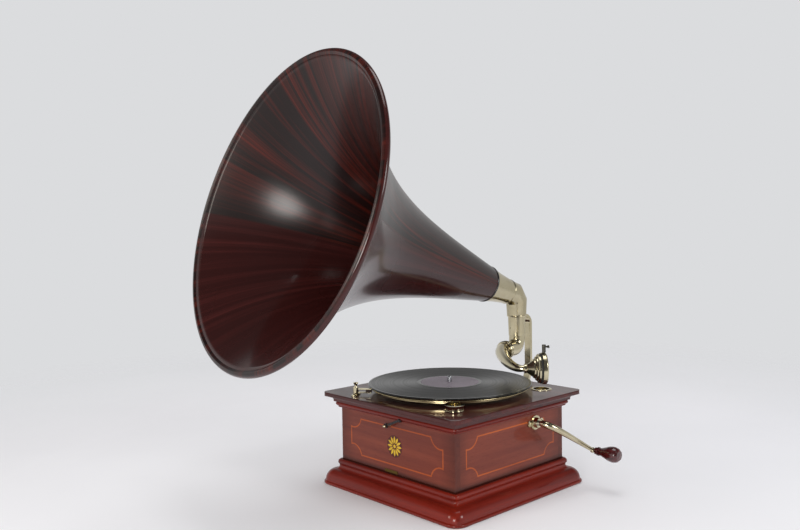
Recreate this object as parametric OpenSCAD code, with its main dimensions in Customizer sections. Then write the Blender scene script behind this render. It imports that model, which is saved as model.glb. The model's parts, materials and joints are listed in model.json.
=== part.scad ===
// Table gramophone with a square mahogany cabinet, a wooden horn and a hand-wound spring motor.
// Units are millimetres. The origin is the middle of the cabinet's underside, +Z is up,
// the panel with the inlaid rosette faces -Y, the crank is on +X and the horn stands on a
// bracket behind the cabinet and opens towards -Y.

/* [Cabinet] */
// Width and depth of the square body, outside the panels
body_w = 239; // [225:1:255]
// Height of the cabinet, from the table to the top of the motor board
cabinet_h = 142; // [136:1:160]
// Thickness of the four side panels
panel_t = 10; // [8:0.5:12]
// How far the plinth's lip stands out from the body
plinth_out = 26.5; // [22:0.5:30]
// Height of the plinth moulding
plinth_h = 38; // [34:1:44]
// Corner radius of the motor board and of the plinth's lip
corner_r = 14; // [8:1:20]
// How far the motor board's edge stands out from the body
board_out = 23; // [20:0.5:26]
// Thickness of the motor board
board_t = 15; // [13:0.5:18]
// Height of the bead moulding under the motor board
bead_h = 7.5; // [6:0.5:9]
// How far the bead moulding stands out from the body
bead_out = 6.5; // [4:0.5:8]

/* [Inlay] */
// Width of the satinwood line let into the panels
line_w = 2; // [1:0.1:3]
// Depth of the inlay grooves
inlay_d = 0.8; // [0.5:0.1:1.2]
// Width of the rectangle that the line follows
line_rect_w = 196; // [180:1:200]
// Height of the rectangle that the line follows
line_rect_h = 57; // [50:1:62]
// How far the middle of the rectangle lies below the middle of the panel
line_drop = 0.25; // [-1.5:0.25:2]
// Diameter of the rosette on the front panel
rosette_d = 32; // [24:1:40]

/* [Turntable] */
// Distance of the spindle in front of the middle of the cabinet
spindle_y = 3; // [0:0.5:6]
// Radius of the motor spindle
spindle_r = 3.5; // [3:0.1:4]
// Height of the spindle's round end above the record
spindle_up = 10; // [7:0.5:12]
// Diameter of the record
record_d = 250; // [240:1:252]
// Thickness of the record
record_t = 2.5; // [2:0.1:3]
// Diameter of the record's label
label_d = 89; // [80:1:95]
// Diameter of the turntable
platter_d = 243; // [230:1:246]
// Height of the turntable's rim
platter_h = 6; // [5:0.5:7]
// Thickness of the felt on the turntable
felt_t = 1.2; // [0.8:0.1:2]
// Gap between the motor board and the turntable's rim
platter_gap = 4.6; // [3:0.1:6]

/* [Motor] */
// Distance between the two motor plates
motor_gap = 69; // [69:0.5:72]
// Thickness of the motor plates
plate_t = 3; // [2.5:0.1:4]
// Distance of the spring barrel to the right of the spindle
barrel_x = 30; // [29:0.5:31]
// Radius of the spring barrel
barrel_r = 33; // [30:0.5:33.5]
// Height of the spring barrel
barrel_h = 23; // [20:0.5:24]
// Teeth of the gear on the spring barrel
barrel_teeth = 60; // [60]
// Teeth of the pinion that the barrel drives
first_pinion_teeth = 10; // [10]
// Module of the barrel's gear and its pinion
first_module = 1.2; // [1.2]
// Teeth of the intermediate wheel
second_wheel_teeth = 48; // [48]
// Teeth of the pinion on the spindle
second_pinion_teeth = 12; // [12]
// Module of the intermediate wheel and its pinion
second_module = 1; // [1]
// Teeth of the wheel that drives the governor's worm
governor_wheel_teeth = 30; // [30]
// Module of the governor's wheel and worm
governor_module = 0.8; // [0.8]
// Pitch radius of the worm
worm_r = 4; // [3.8:0.1:4.4]

/* [Crank] */
// Distance of the crank's axis below the top of the motor board
crank_down = 38.5; // [37:0.5:41]
// Distance of the crank's axis behind the middle of the cabinet
crank_y = 52; // [51:0.5:53]
// Radius of the winding shaft
shaft_r = 4; // [3.5:0.1:4.5]
// Throw of the crank, from the shaft to the handle's axis
crank_throw = 89; // [80:1:92]
// Distance of the crank's elbow from the side panel
crank_stand = 20; // [17:0.5:24]
// How far the crank arm leans outwards along its throw
crank_lean = 30; // [24:1:34]
// Angle of the crank below the horizontal, towards the back
crank_angle = 32; // [0:1:60]
// Radius of the crank arm's round bar
crank_bar_r = 3.5; // [3:0.1:4]
// Length of the wooden handle
handle_len = 46; // [40:1:52]
// Largest radius of the wooden handle
handle_r = 11.6; // [10:0.1:12]

/* [Horn support] */
// Distance of the tonearm's axis behind the rear panel
arm_back = 40.5; // [38.5:0.5:43.5]
// Height of the lower end of the bracket's socket above the motor board
socket_up = 69.3; // [67:0.1:72]
// Length of the bracket's socket
socket_len = 35; // [32:0.5:38]
// Outer radius of the socket's upper end
socket_r = 14.4; // [14:0.1:15.5]
// Radius of the socket's lower bore, which the tonearm turns in
socket_bore_r = 10.5; // [10:0.1:11]
// Width of the bracket's arm
bracket_w = 12; // [10:0.5:14]
// Thickness of the bracket's arm
bracket_t = 5; // [4:0.25:6]
// Distance below the motor board's top at which the bracket's arm leaves its foot
bracket_down = 42; // [41:0.5:46]

/* [Horn] */
// Height above the motor board of the point where the horn's and the tonearm's axes meet
horn_up = 136.5; // [134:0.5:142]
// Upward slope of the horn's axis, in degrees
horn_slope = 17.6; // [14:0.2:22]
// Turn of the horn to the left of straight forward, in degrees
horn_turn = 4.65; // [0:0.05:8]
// Length of the wooden bell
bell_len = 396; // [380:1:410]
// Outer radius of the bell's small end
bell_neck_r = 28.3; // [27:0.1:30]
// Straight part of the bell's spread, over its whole length
bell_cone = 77; // [70:1:84]
// Flared part of the bell's spread, over its whole length
bell_flare = 112; // [100:1:120]
// Wall of the bell
bell_wall = 4; // [3:0.25:5]
// Thickness of the horn's turned rim
rim_t = 10; // [8:0.5:11]
// Distance of the bell's small end from the tonearm's axis, along the horn
bell_from = 73; // [70:0.5:76]

/* [Tonearm] */
// Height of the tonearm's horizontal stub above the motor board
arm_up = 49; // [48:0.25:50]
// Outer radius of the tonearm's stub
arm_r = 12.8; // [12.4:0.1:13.2]
// Radius of the bore through the stub
arm_bore_r = 9; // [8.5:0.1:9.3]
// Turn of the stub to the right of straight forward, in degrees
arm_turn = 10; // [8:0.5:12]
// Length of the stub, from the tonearm's axis to its joint
arm_stub = 43.6; // [42:0.1:46]
// Place of the sound box's middle, to the right of the cabinet's middle
box_x = 121; // [119:0.5:123]
// Place of the sound box's middle, behind the cabinet's middle
box_y = 65.5; // [63:0.5:68]
// Height of the sound box's middle above the motor board
box_up = 40; // [39.5:0.25:42]
// Direction of the sound box's face, in degrees from +X towards +Y
box_turn = 47; // [45:0.5:49]

/* [Sound box] */
// Outer radius of the sound box's bezel
box_r = 23.4; // [22:0.1:24]
// Depth of the bezel
bezel_t = 7; // [5:0.5:8]
// Radius of the mica diaphragm
mica_r = 20; // [18:0.25:20.5]
// Length of the needle chuck, outwards from the bezel's edge
chuck_len = 11.5; // [9:0.25:12]
// Radius of the hole for the needle
needle_hole_r = 0.9; // [0.7:0.05:1.1]

/* [Hidden] */
$fn = 96;
run_gap = 0.05;      // radial clearance of a shaft that turns in a hole
rest_gap = 0.3;      // gap between moving faces
eps = 0.5;           // how far a cut runs past the face that it opens

half_body = body_w / 2;
inner_half = half_body - panel_t;
half_board = half_body + board_out;
half_plinth = half_body + plinth_out;
board_z = cabinet_h - board_t;
panel_top = board_z - bead_h;
line_mid_z = (plinth_h + panel_top) / 2 - line_drop;
base_z = 0;          // underside of the bottom board
base_t = 8;
panel_z = base_z + base_t;
spindle = [0, -spindle_y];

platter_z = cabinet_h + platter_gap;
felt_z = platter_z + platter_h;
record_z = felt_z + felt_t;
record_top = record_z + record_t;
label_t = 0.2;
hub_r = 16;
record_hole_r = spindle_r + 0.15;

cup_high = [99, -98];   // middle of the raised needle cup
cup_low = [94, 102];    // middle of the sunk needle cup
cup_high_r = 12;        // waist of the raised cup
cup_low_r = 13;         // bowl of the sunk cup
brake_way = 235.43;     // direction of the brake's post from the spindle
brake_far = platter_d / 2 + 23.016;
brake_post = spindle + brake_far * [cos(brake_way), sin(brake_way)];

top_plate_z = board_z - plate_t;
low_plate_z = top_plate_z - motor_gap - plate_t;
motor_floor = low_plate_z + plate_t;
plate_x = [-66, 70];
plate_y = [-34, 94];
pillar_r = 4;
pillar_in = 7;
second_z = motor_floor + 3;
second_t = 3;
first_z = second_z + second_t + 3;
first_t = 4;
barrel_wall = 2;
arbor_hub_r = 5;
arbor_pivot_r = 2.5;
barrel_axis = [barrel_x, crank_y];
first_dist = (barrel_teeth + first_pinion_teeth) * first_module / 2;
second_dist = (second_wheel_teeth + second_pinion_teeth) * second_module / 2;
barrel_from_spindle = barrel_axis - spindle;
barrel_dist = norm(barrel_from_spindle);
along = (second_dist * second_dist - first_dist * first_dist + barrel_dist * barrel_dist) / (2 * barrel_dist);
aside = sqrt(second_dist * second_dist - along * along);
to_barrel = barrel_from_spindle / barrel_dist;
second_axis = spindle + along * to_barrel + aside * [to_barrel[1], -to_barrel[0]];
first_line = atan2(second_axis[1] - barrel_axis[1], second_axis[0] - barrel_axis[0]);
second_line = atan2(spindle[1] - second_axis[1], spindle[0] - second_axis[0]);

crank_z = cabinet_h - crank_down;
crown_teeth = 36;
crown_pinion_teeth = 12;
crown_module = 1;
crown_r = crown_teeth * crown_module / 2;
crown_pinion_r = crown_pinion_teeth * crown_module / 2;
crown_depth = 2.2;
crown_top = crank_z - crown_pinion_r + 0.8;
crown_disc_t = 2;
crown_disc_z = crown_top - crown_depth - crown_disc_t;

governor_wheel_r = governor_wheel_teeth * governor_module / 2;
governor_dist = governor_wheel_r + worm_r + 0.15;
governor_y = spindle[1] - governor_dist;
governor_z = motor_floor + 33;
governor_r = 2;
governor_left = -53;
governor_right = 16;
ball_r = 5;
ball_out = 12;
disc_r = 14;
ball_x = -30;
disc_x = -48;

panel_x = half_body;                 // outer face of the side panel that the crank passes
crank_elbow_x = panel_x + crank_stand;
crank_end_x = crank_elbow_x + crank_lean;
handle_gap = 0.6;
handle_pin_r = 2.5;
knuckle_r = crank_bar_r + 1.2;

foot_h = 52;
foot_w = 38;
foot_t = 4;
foot_z = panel_top - 2.5 - foot_h;
bracket_z = cabinet_h - bracket_down;
arm_axis_y = half_body + arm_back;
socket_z = cabinet_h + socket_up;
horn_z = cabinet_h + horn_up;
arm_z = cabinet_h + arm_up;
box_z = cabinet_h + box_up;
bracket_out_y = arm_axis_y + 30.5;   // middle line of the bracket's upright
bracket_low_r = 60;
bracket_high_r = 14.5;
socket_top = socket_z + socket_len;
socket_step = socket_z + 22;
elbow_spigot_r = 12.4;
stop_screw_up = 12.5;

flare_steps = 26;
sleeve_from = 23;
sleeve_r = 20;
sleeve_bore = 16;
elbow_r = 16;
elbow_bore = 10.2;
elbow_bend = 24;
sleeve_wall = 2.4;

arm_bend = 15;
collar_len = 10;
arm_dir = [sin(arm_turn), -cos(arm_turn), 0];
box_mid = [box_x, box_y, box_z];
box_dir = [cos(box_turn), sin(box_turn), 0];
neck_from = -27;     // ends of the taper arm's neck, along the sound box's axis
neck_to = -13.5;
neck_r = 4.65;
neck_bore = 3.2;
box_back_z = -11.5;
gasket_half = 1.5;

mahogany = [0.40, 0.13, 0.09];
dark_mahogany = [0.36, 0.07, 0.05];
satinwood = [0.80, 0.55, 0.20];
nickel = [0.78, 0.75, 0.66];
steel = [0.62, 0.63, 0.65];
brass = [0.80, 0.62, 0.28];
walnut = [0.16, 0.09, 0.07];
black = [0.06, 0.06, 0.06];

// ---------------------------------------------------------------- profiles and shared shapes

// A flat square with round corners, half_w from its middle to each side.
module round_square(half_w, r) {
    square([2 * half_w, 2 * (half_w - r)], center = true);
    square([2 * (half_w - r), 2 * half_w], center = true);
    for (x = [-1, 1], y = [-1, 1]) translate([x * (half_w - r), y * (half_w - r)]) circle(r);
}

// Runs a profile, drawn from the middle outwards, round a square with mitred corners.
module square_moulding(half_w, r, height, z) {
    intersection() {
        rotate([90, 0, 90]) linear_extrude(height = 3 * half_w, center = true) mirrored() children();
        rotate([90, 0, 0]) linear_extrude(height = 3 * half_w, center = true) mirrored() children();
        translate([0, 0, z]) linear_extrude(height = height) round_square(half_w, r);
    }
}

module mirrored() {
    children();
    mirror([1, 0]) children();
}

// Ogee, fillet, bead and round lip of the plinth.
module plinth_profile() {
    lip_r = 4;
    ovolo_r = 9;
    cove_r = 10;
    ogee_x = half_plinth - lip_r - ovolo_r + 1;
    fillet_x = ogee_x - cove_r;
    fillet_z = 2 * lip_r + ovolo_r + cove_r;
    bead_r = 3.5;
    bead_x = half_body + 6 - bead_r;
    square([half_plinth - lip_r, 2 * lip_r]);
    translate([half_plinth - lip_r, lip_r]) circle(lip_r);
    square([ogee_x, 2 * lip_r + ovolo_r]);
    intersection() {
        translate([ogee_x, 2 * lip_r]) circle(ovolo_r);
        translate([0, 2 * lip_r]) square([half_plinth, ovolo_r]);
    }
    difference() {
        square([ogee_x, fillet_z]);
        translate([ogee_x, fillet_z]) circle(cove_r);
    }
    square([fillet_x, fillet_z + 2]);
    square([bead_x, plinth_h - 2]);
    translate([bead_x, plinth_h - 2 - bead_r]) circle(bead_r);
    polygon([[0, 0], [half_body + 2, 0], [half_body + 2, plinth_h - 1.5], [half_body + 0.5, plinth_h], [0, plinth_h]]);
}

// Thin edge with a cavetto below it.
module board_profile() {
    edge_t = 6;
    edge_r = 1.5;
    cove_r = board_t - edge_t - 1;
    cove_x = half_board - 14;
    difference() {
        square([cove_x + cove_r, board_t - edge_t]);
        translate([cove_x + cove_r, 1]) circle(cove_r);
        translate([cove_x, -eps]) square([cove_r + eps, 1 + eps]);
    }
    translate([0, board_t - edge_t]) square([half_board - edge_r, edge_t]);
    translate([0, board_t - edge_t + edge_r]) square([half_board, edge_t - 2 * edge_r]);
    for (z = [board_t - edge_r, board_t - edge_t + edge_r]) translate([half_board - edge_r, z]) circle(edge_r);
}

// Two soft beads, one above the other.
module bead_profile() {
    r = bead_h / 2;
    square([half_body + bead_out - r, bead_h]);
    translate([half_body + bead_out - r, r]) circle(r);
}

// The area inside the inlaid line: a rectangle with scooped corners.
module scooped_rectangle(w, h) {
    cut_x = 23;
    cut_y = 14;
    scoop_r = 18;
    chord = norm([cut_x, cut_y]);
    out = sqrt(scoop_r * scoop_r - chord * chord / 4);
    mid = [w / 2 - cut_x / 2, h / 2 - cut_y / 2];
    centre = mid + out / chord * [cut_y, cut_x];
    difference() {
        square([w, h], center = true);
        for (x = [-1, 1], y = [-1, 1]) translate([x * centre[0], y * centre[1]]) circle(scoop_r);
    }
}

module inlay_line() {
    difference() {
        scooped_rectangle(line_rect_w, line_rect_h);
        intersection() {
            scooped_rectangle(line_rect_w, line_rect_h);
            square([line_rect_w - 2 * line_w, line_rect_h - 2 * line_w], center = true);
            scooped_inner();
        }
    }
}

module scooped_inner() {
    cut_x = 23;
    cut_y = 14;
    scoop_r = 18;
    chord = norm([cut_x, cut_y]);
    out = sqrt(scoop_r * scoop_r - chord * chord / 4);
    mid = [line_rect_w / 2 - cut_x / 2, line_rect_h / 2 - cut_y / 2];
    centre = mid + out / chord * [cut_y, cut_x];
    difference() {
        square([line_rect_w, line_rect_h], center = true);
        for (x = [-1, 1], y = [-1, 1]) translate([x * centre[0], y * centre[1]]) circle(scoop_r + line_w);
    }
}

// Puts a drawing on a side of the body, its own Y pointing up; side 0 is the front, 1 the right.
module on_side(side, z) {
    rotate([0, 0, 90 * side]) translate([0, -half_body, z]) rotate([90, 0, 0]) children();
}

// Closed shell between rings of points; the rings run anticlockwise, seen from the last ring.
module ring_stack(rings) {
    n = len(rings[0]);
    m = len(rings);
    flat = [for (ring = rings) for (p = ring) p];
    sides = [for (i = [0 : m - 2]) for (k = [0 : n - 1])
        for (f = [[i * n + k, (i + 1) * n + (k + 1) % n, i * n + (k + 1) % n],
                  [i * n + k, (i + 1) * n + k, (i + 1) * n + (k + 1) % n]]) f];
    ends = [[for (k = [0 : n - 1]) k], [for (k = [n - 1 : -1 : 0]) (m - 1) * n + k]];
    polyhedron(flat, concat(sides, ends), convexity = 6);
}

// Ring of n points about p, square to direction d.
function ring_at(p, d, r, n) =
    let (a = cross(d, abs(d[2]) > 0.9 ? [0, 1, 0] : [0, 0, 1]), u = a / norm(a), v = cross(u, d) / norm(d))
    [for (k = [0 : n - 1]) p + r * (cos(360 * k / n) * u - sin(360 * k / n) * v)];

function gear_points(n, m, phase) =
    let (r = n * m / 2, add = 0.8 * m, ded = 1.15 * m, half = 90 / n * 0.82,
         tip = half - atan(add * tan(20) / r), root = half + atan(ded * tan(20) / r))
    [for (k = [0 : n - 1]) for (p = [[-root, r - ded], [-tip, r + add], [tip, r + add], [root, r - ded]])
        let (a = phase + 360 * k / n + p[0]) p[1] * [cos(a), sin(a)]];

module gear(n, m, thick, phase = 0) {
    linear_extrude(height = thick) polygon(gear_points(n, m, phase));
}

// Round-headed screw with a slot, its head above z = 0 and its shank below.
module screw(head_r, head_h, shank_r, shank_len) {
    difference() {
        union() {
            intersection() {
                translate([0, 0, head_h - head_r * 1.4]) sphere(head_r * 1.4);
                cylinder(r = head_r, h = head_h);
            }
            translate([0, 0, -shank_len]) cylinder(r = shank_r, h = shank_len);
        }
        translate([-head_r, -0.4, head_h * 0.55]) cube([2 * head_r, 0.8, head_h]);
    }
}

// ---------------------------------------------------------------- cabinet

module plinth_moulding() {
    color(dark_mahogany) difference() {
        square_moulding(half_plinth, corner_r, plinth_h, 0) plinth_profile();
        translate([0, 0, plinth_h / 2]) cube([body_w, body_w, plinth_h + 2 * eps], center = true);
    }
}

module bottom_board() {
    color(mahogany) translate([-half_body, -half_body, base_z]) cube([body_w, body_w, base_t]);
}

module front_panel() {
    color(mahogany) difference() {
        translate([-half_body, -half_body, panel_z]) cube([body_w, panel_t, panel_top - panel_z]);
        on_side(0, line_mid_z) translate([0, 0, -inlay_d]) linear_extrude(height = inlay_d + eps) inlay_line();
        on_side(0, line_mid_z) translate([0, 0, -inlay_d]) cylinder(d = rosette_d, h = inlay_d + eps);
        hook_pivot_place() translate([0, 0, -hook_shank]) cylinder(r = hook_shank_r, h = hook_shank + eps);
    }
}

module rear_panel() {
    color(mahogany) difference() {
        translate([-half_body, half_body - panel_t, panel_z]) cube([body_w, panel_t, panel_top - panel_z]);
        bracket_screw_places() translate([0, 0, -foot_t - 8.5]) cylinder(r = 1.8, h = 9);
    }
}

module left_panel() {
    color(mahogany) difference() {
        translate([-half_body, -inner_half, panel_z]) cube([panel_t, 2 * inner_half, panel_top - panel_z]);
        on_side(3, line_mid_z) translate([0, 0, -inlay_d]) linear_extrude(height = inlay_d + eps) inlay_line();
    }
}

module right_panel() {
    color(mahogany) difference() {
        translate([inner_half, -inner_half, panel_z]) cube([panel_t, 2 * inner_half, panel_top - panel_z]);
        on_side(1, line_mid_z) translate([0, 0, -inlay_d]) linear_extrude(height = inlay_d + eps) inlay_line();
        crank_place(inner_half - eps) cylinder(r = escutcheon_hub_r, h = panel_t + 2 * eps);
        escutcheon_screw_places() translate([0, 0, -escutcheon_t - 7]) cylinder(r = 1.4, h = 7.2);
    }
}

// Triangular blocks glued into the four inside corners.
module glue_blocks() {
    side = 16;
    color(mahogany) for (a = [0 : 90 : 270]) rotate([0, 0, a])
        translate([-inner_half, -inner_half, panel_z])
            linear_extrude(height = panel_top - panel_z) polygon([[0, 0], [side, 0], [0, side]]);
}

module bead_moulding() {
    color(dark_mahogany) difference() {
        translate([0, 0, panel_top])
            square_moulding(half_body + bead_out, 3, bead_h, 0) bead_profile();
        translate([0, 0, panel_top + bead_h / 2])
            cube([2 * inner_half, 2 * inner_half, bead_h + 2 * eps], center = true);
        hook_stud_place() translate([0, 0, -8]) cylinder(r = hook_shank_r, h = 8 + eps);
    }
}

module motor_board() {
    color(dark_mahogany) difference() {
        translate([0, 0, board_z]) square_moulding(half_board, corner_r, board_t, 0) board_profile();
        translate([spindle[0], spindle[1], board_z - eps]) cylinder(r = 9, h = board_t + 2 * eps);
        translate([cup_low[0], cup_low[1], board_z - eps]) cylinder(r = cup_low_r, h = board_t + 2 * eps);
        motor_bolt_places() translate([0, 0, -board_t - eps]) cylinder(r = 2, h = board_t + 2 * eps);
        brake_screw_places() translate([0, 0, -8]) cylinder(r = 1.4, h = 8 + eps);
    }
}

module panel_stringing() {
    color(satinwood) difference() {
        for (side = [0, 1, 3]) on_side(side, line_mid_z)
            translate([0, 0, -inlay_d]) linear_extrude(height = inlay_d) inlay_line();
        crank_place(panel_x - panel_t) cylinder(r = escutcheon_hub_r, h = panel_t + eps);
        escutcheon_screw_places() translate([0, 0, -escutcheon_t - 7]) cylinder(r = 1.4, h = 7.2);
    }
}

// Traditional fan rosette: twelve petals round a small disc on a dark ground.
module front_rosette() {
    petals = 12;
    petal_from = rosette_d * 0.13;
    petal_to = rosette_d * 0.46;
    petal_r = 0.75 * (petal_to - petal_from);
    off = sqrt(petal_r * petal_r - pow((petal_to - petal_from) / 2, 2));
    on_side(0, line_mid_z) translate([0, 0, -inlay_d]) {
        color(walnut) difference() {
            cylinder(d = rosette_d, h = inlay_d);
            rosette_petals(petals, petal_from, petal_to, petal_r, off);
        }
        color(satinwood) rosette_petals(petals, petal_from, petal_to, petal_r, off);
    }
}

module rosette_petals(count, from, to, r, off) {
    for (k = [0 : count - 1]) rotate(360 * k / count) intersection() {
        translate([(from + to) / 2, off]) cylinder(r = r, h = inlay_d);
        translate([(from + to) / 2, -off]) cylinder(r = r, h = inlay_d);
    }
}

// ---------------------------------------------------------------- lid hook

hook_pivot = [-9, panel_top - 11];
hook_stud = [20.5, panel_top + 1.8];
hook_shank = 7;
hook_shank_r = 1.3;
hook_t = 2;
hook_stud_r = 1.4;

module hook_pivot_place() {
    on_side(0, 0) translate([hook_pivot[0], hook_pivot[1], 0]) children();
}

module hook_stud_place() {
    on_side(0, 0) translate([hook_stud[0], hook_stud[1], bead_out]) children();
}

// Flat hook that swings on its screw and drops over a stud in the bead moulding.
module lid_hook() {
    reach = hook_stud - hook_pivot;
    len = norm(reach);
    color(black) hook_pivot_place() rotate(atan2(reach[1], reach[0]))
        translate([0, 0, bead_out + rest_gap]) linear_extrude(height = hook_t) difference() {
            union() {
                circle(3.6);
                translate([0, -1.6]) square([len, 3.2]);
                translate([len, 0]) circle(3.4);
            }
            circle(hook_shank_r + run_gap);
            translate([len, 0]) circle(hook_stud_r + rest_gap);
            translate([len - hook_stud_r - 2 * rest_gap, 0]) square([2 * hook_stud_r + 3 * rest_gap, 6]);
        }
}

module lid_hook_fittings() {
    washer_h = bead_out;
    color(nickel) hook_pivot_place() {
        translate([0, 0, -hook_shank]) cylinder(r = hook_shank_r, h = hook_shank + bead_out + hook_t + 1);
        difference() {
            cylinder(r1 = 3.4, r2 = 2.6, h = washer_h);
            translate([0, 0, -eps]) cylinder(r = hook_shank_r, h = washer_h + 2 * eps);
        }
        translate([0, 0, bead_out + hook_t + 2 * rest_gap + 1.6]) difference() {
            sphere(2.6);
            translate([0, 0, -2.6 - 1.6]) cube([6, 6, 5.2], center = true);
        }
    }
    color(nickel) hook_stud_place() {
        translate([0, 0, -6]) cylinder(r = hook_shank_r, h = 6);
        cylinder(r = hook_stud_r, h = hook_t + 2 * rest_gap);
        translate([0, 0, hook_t + 2 * rest_gap]) cylinder(r1 = 2.6, r2 = 1.8, h = 1.2);
    }
}

// ---------------------------------------------------------------- needle cups

// Turned cup with a rolled rim and foot, standing on the board's front corner.
module raised_needle_cup() {
    h = 9;
    bowl_r = 10.5;
    color(nickel) translate([cup_high[0], cup_high[1], cabinet_h]) rotate_extrude() difference() {
        union() {
            square([cup_high_r, h]);
            translate([cup_high_r, h - 1.4]) circle(1.4);
            polygon([[cup_high_r - 0.5, h - 5], [cup_high_r + 2.6, h], [cup_high_r - 0.5, h]]);
            translate([cup_high_r, 1.3]) circle(1.3);
        }
        translate([0, 2]) square([bowl_r, h]);
        translate([-4, -eps]) square([4, h + 2]);
    }
}

// Round bowl sunk through the board, with a flat rim.
module sunk_needle_cup() {
    rim_w = 3;
    rim_h = 1;
    wall = 0.8;
    depth = 10;
    bowl_r = cup_low_r - wall;
    color(nickel) translate([cup_low[0], cup_low[1], cabinet_h]) rotate_extrude() difference() {
        union() {
            square([cup_low_r + rim_w - rim_h, rim_h]);
            translate([cup_low_r + rim_w - rim_h, 0]) intersection() {
                circle(rim_h);
                square(rim_h);
            }
            translate([0, -depth]) square([cup_low_r, depth]);
        }
        translate([0, -depth + wall + 3]) square([bowl_r, depth + rim_h]);
        translate([0, -depth + wall]) square([bowl_r - 3, depth]);
        translate([bowl_r - 3, -depth + wall + 3]) circle(3);
    }
}

// ---------------------------------------------------------------- brake

brake_base_t = 2;
brake_pin_r = 2.2;
brake_touch = 1.0789 * (brake_far - platter_d / 2);    // where the lever's middle line meets the rim
brake_reach = brake_touch + 1.2;
brake_hub_h = 9.5;
brake_blade_t = 1.6;
brake_blade_in = 1.2;    // from the hub's ends to the blades

function brake_angle() =
    brake_way - 180
    - acos((pow(brake_far, 2) + pow(brake_touch, 2) - pow(platter_d / 2, 2)) / (2 * brake_far * brake_touch));

module brake_screw_places() {
    for (s = [-1, 1]) translate([brake_post[0], brake_post[1], cabinet_h])
        rotate(brake_angle() + 90) translate([10 * s, 0, 0]) children();
}

// Oval foot screwed to the board, with the post that the brake turns on.
module brake_base() {
    color(nickel) translate([brake_post[0], brake_post[1], cabinet_h]) rotate(brake_angle() + 90) {
        difference() {
            linear_extrude(height = brake_base_t) {
                square([20, 9], center = true);
                for (s = [-1, 1]) translate([10 * s, 0]) circle(4.5);
            }
            for (s = [-1, 1]) translate([10 * s, 0, -eps]) cylinder(r = 1.4, h = brake_base_t + 2 * eps);
        }
        translate([0, 0, brake_base_t]) cylinder(r = brake_pin_r, h = brake_hub_h - 0.9);
    }
    color(nickel) brake_screw_places() translate([0, 0, brake_base_t]) screw(2.2, 1.3, 1.4, brake_base_t + 6);
}

// Two blades, one above the other, on a hub that turns on the post; they end short of the rim.
module brake_lever() {
    color(nickel) difference() {
        brake_place() {
            cylinder(r = 4.2, h = brake_hub_h);
            for (z = [brake_blade_in, brake_hub_h - brake_blade_t - brake_blade_in]) translate([0, 0, z]) {
                translate([0, -2.2, 0]) cube([brake_reach - 3, 4.4, brake_blade_t]);
                translate([brake_reach - 3, 0, 0]) cylinder(r = 2.2, h = brake_blade_t);
            }
        }
        brake_place() translate([0, 0, -eps]) cylinder(r = brake_pin_r + run_gap, h = brake_hub_h - 0.8 + eps);
        rim_clearance(1.2);
    }
}

// Puts a shape on the brake's post, its own X pointing at the turntable's rim.
module brake_place() {
    translate([brake_post[0], brake_post[1], cabinet_h + brake_base_t + rest_gap])
        rotate(brake_angle()) children();
}

module rim_clearance(gap) {
    translate([spindle[0], spindle[1], cabinet_h + eps]) cylinder(r = platter_d / 2 + gap, h = 30);
}

// Leather block held between the blades' ends.
module brake_pad() {
    from = brake_blade_in + brake_blade_t;
    color(walnut) difference() {
        brake_place() translate([brake_reach - 10, -3, from])
            cube([14, 6, brake_hub_h - 2 * from]);
        rim_clearance(rest_gap);
    }
}

// Waisted knob that turns the brake on and off.
module brake_knob() {
    color(nickel) brake_place() translate([0, 0, brake_hub_h]) rotate_extrude()
        polygon([[0, 0], [2.6, 0], [1.9, 2], [1.9, 3.2], [3.6, 6], [3.9, 6.6], [3.6, 7.4], [0, 7.9]]);
}

// ---------------------------------------------------------------- turntable

module platter() {
    wall = 1.6;
    r = platter_d / 2;
    color(nickel) translate([spindle[0], spindle[1], platter_z]) rotate_extrude() difference() {
        union() {
            translate([0, platter_h - wall]) square([r - 1, wall]);
            translate([r - 1, platter_h - 1]) circle(1);
            translate([r - wall, 0]) square([wall, platter_h - 1]);
            translate([0, 1]) square([hub_r, platter_h - 1]);
        }
        translate([-eps, -eps]) square([spindle_r + eps, platter_h + 2 * eps]);
    }
}

module platter_felt() {
    color([0.25, 0.08, 0.08]) translate([spindle[0], spindle[1], felt_z]) difference() {
        cylinder(r = platter_d / 2 - 3, h = felt_t);
        translate([0, 0, -eps]) cylinder(r = spindle_r, h = felt_t + 2 * eps);
    }
}

// Disc with a round edge, a raised rim and a label seat a little lower than the grooves.
module record() {
    edge = record_t / 2;
    r = record_d / 2;
    groove_drop = 0.15;
    color(black) translate([spindle[0], spindle[1], record_z]) rotate_extrude() difference() {
        union() {
            square([r - edge, record_t]);
            translate([r - edge, edge]) circle(edge);
        }
        translate([label_d / 2 + 4, record_t - groove_drop]) square([r - label_d / 2 - 8, groove_drop + eps]);
        translate([-eps, -eps]) square([record_hole_r + eps, record_t + 2 * eps]);
    }
}

module record_label() {
    color([0.62, 0.58, 0.62]) translate([spindle[0], spindle[1], record_top]) difference() {
        cylinder(d = label_d, h = label_t);
        translate([0, 0, -eps]) cylinder(r = record_hole_r, h = label_t + 2 * eps);
    }
}

// Vertical shaft with a round end above the record and a pivot in the lower motor plate.
module spindle_shaft() {
    top = record_top + spindle_up;
    pivot_r = 2;
    color(steel) translate([spindle[0], spindle[1], 0]) rotate_extrude() {
        translate([0, motor_floor + 1]) square([spindle_r, top - spindle_r - motor_floor - 1]);
        translate([0, low_plate_z]) square([pivot_r, plate_t + 2]);
        translate([0, top - spindle_r]) intersection() {
            circle(spindle_r);
            square(spindle_r);
        }
    }
}

// ---------------------------------------------------------------- motor

module motor_bolt_places() {
    for (x = [plate_x[0] + pillar_in, plate_x[1] - pillar_in], y = [plate_y[0] + pillar_in, plate_y[1] - pillar_in])
        translate([x, y, cabinet_h]) children();
}

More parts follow.
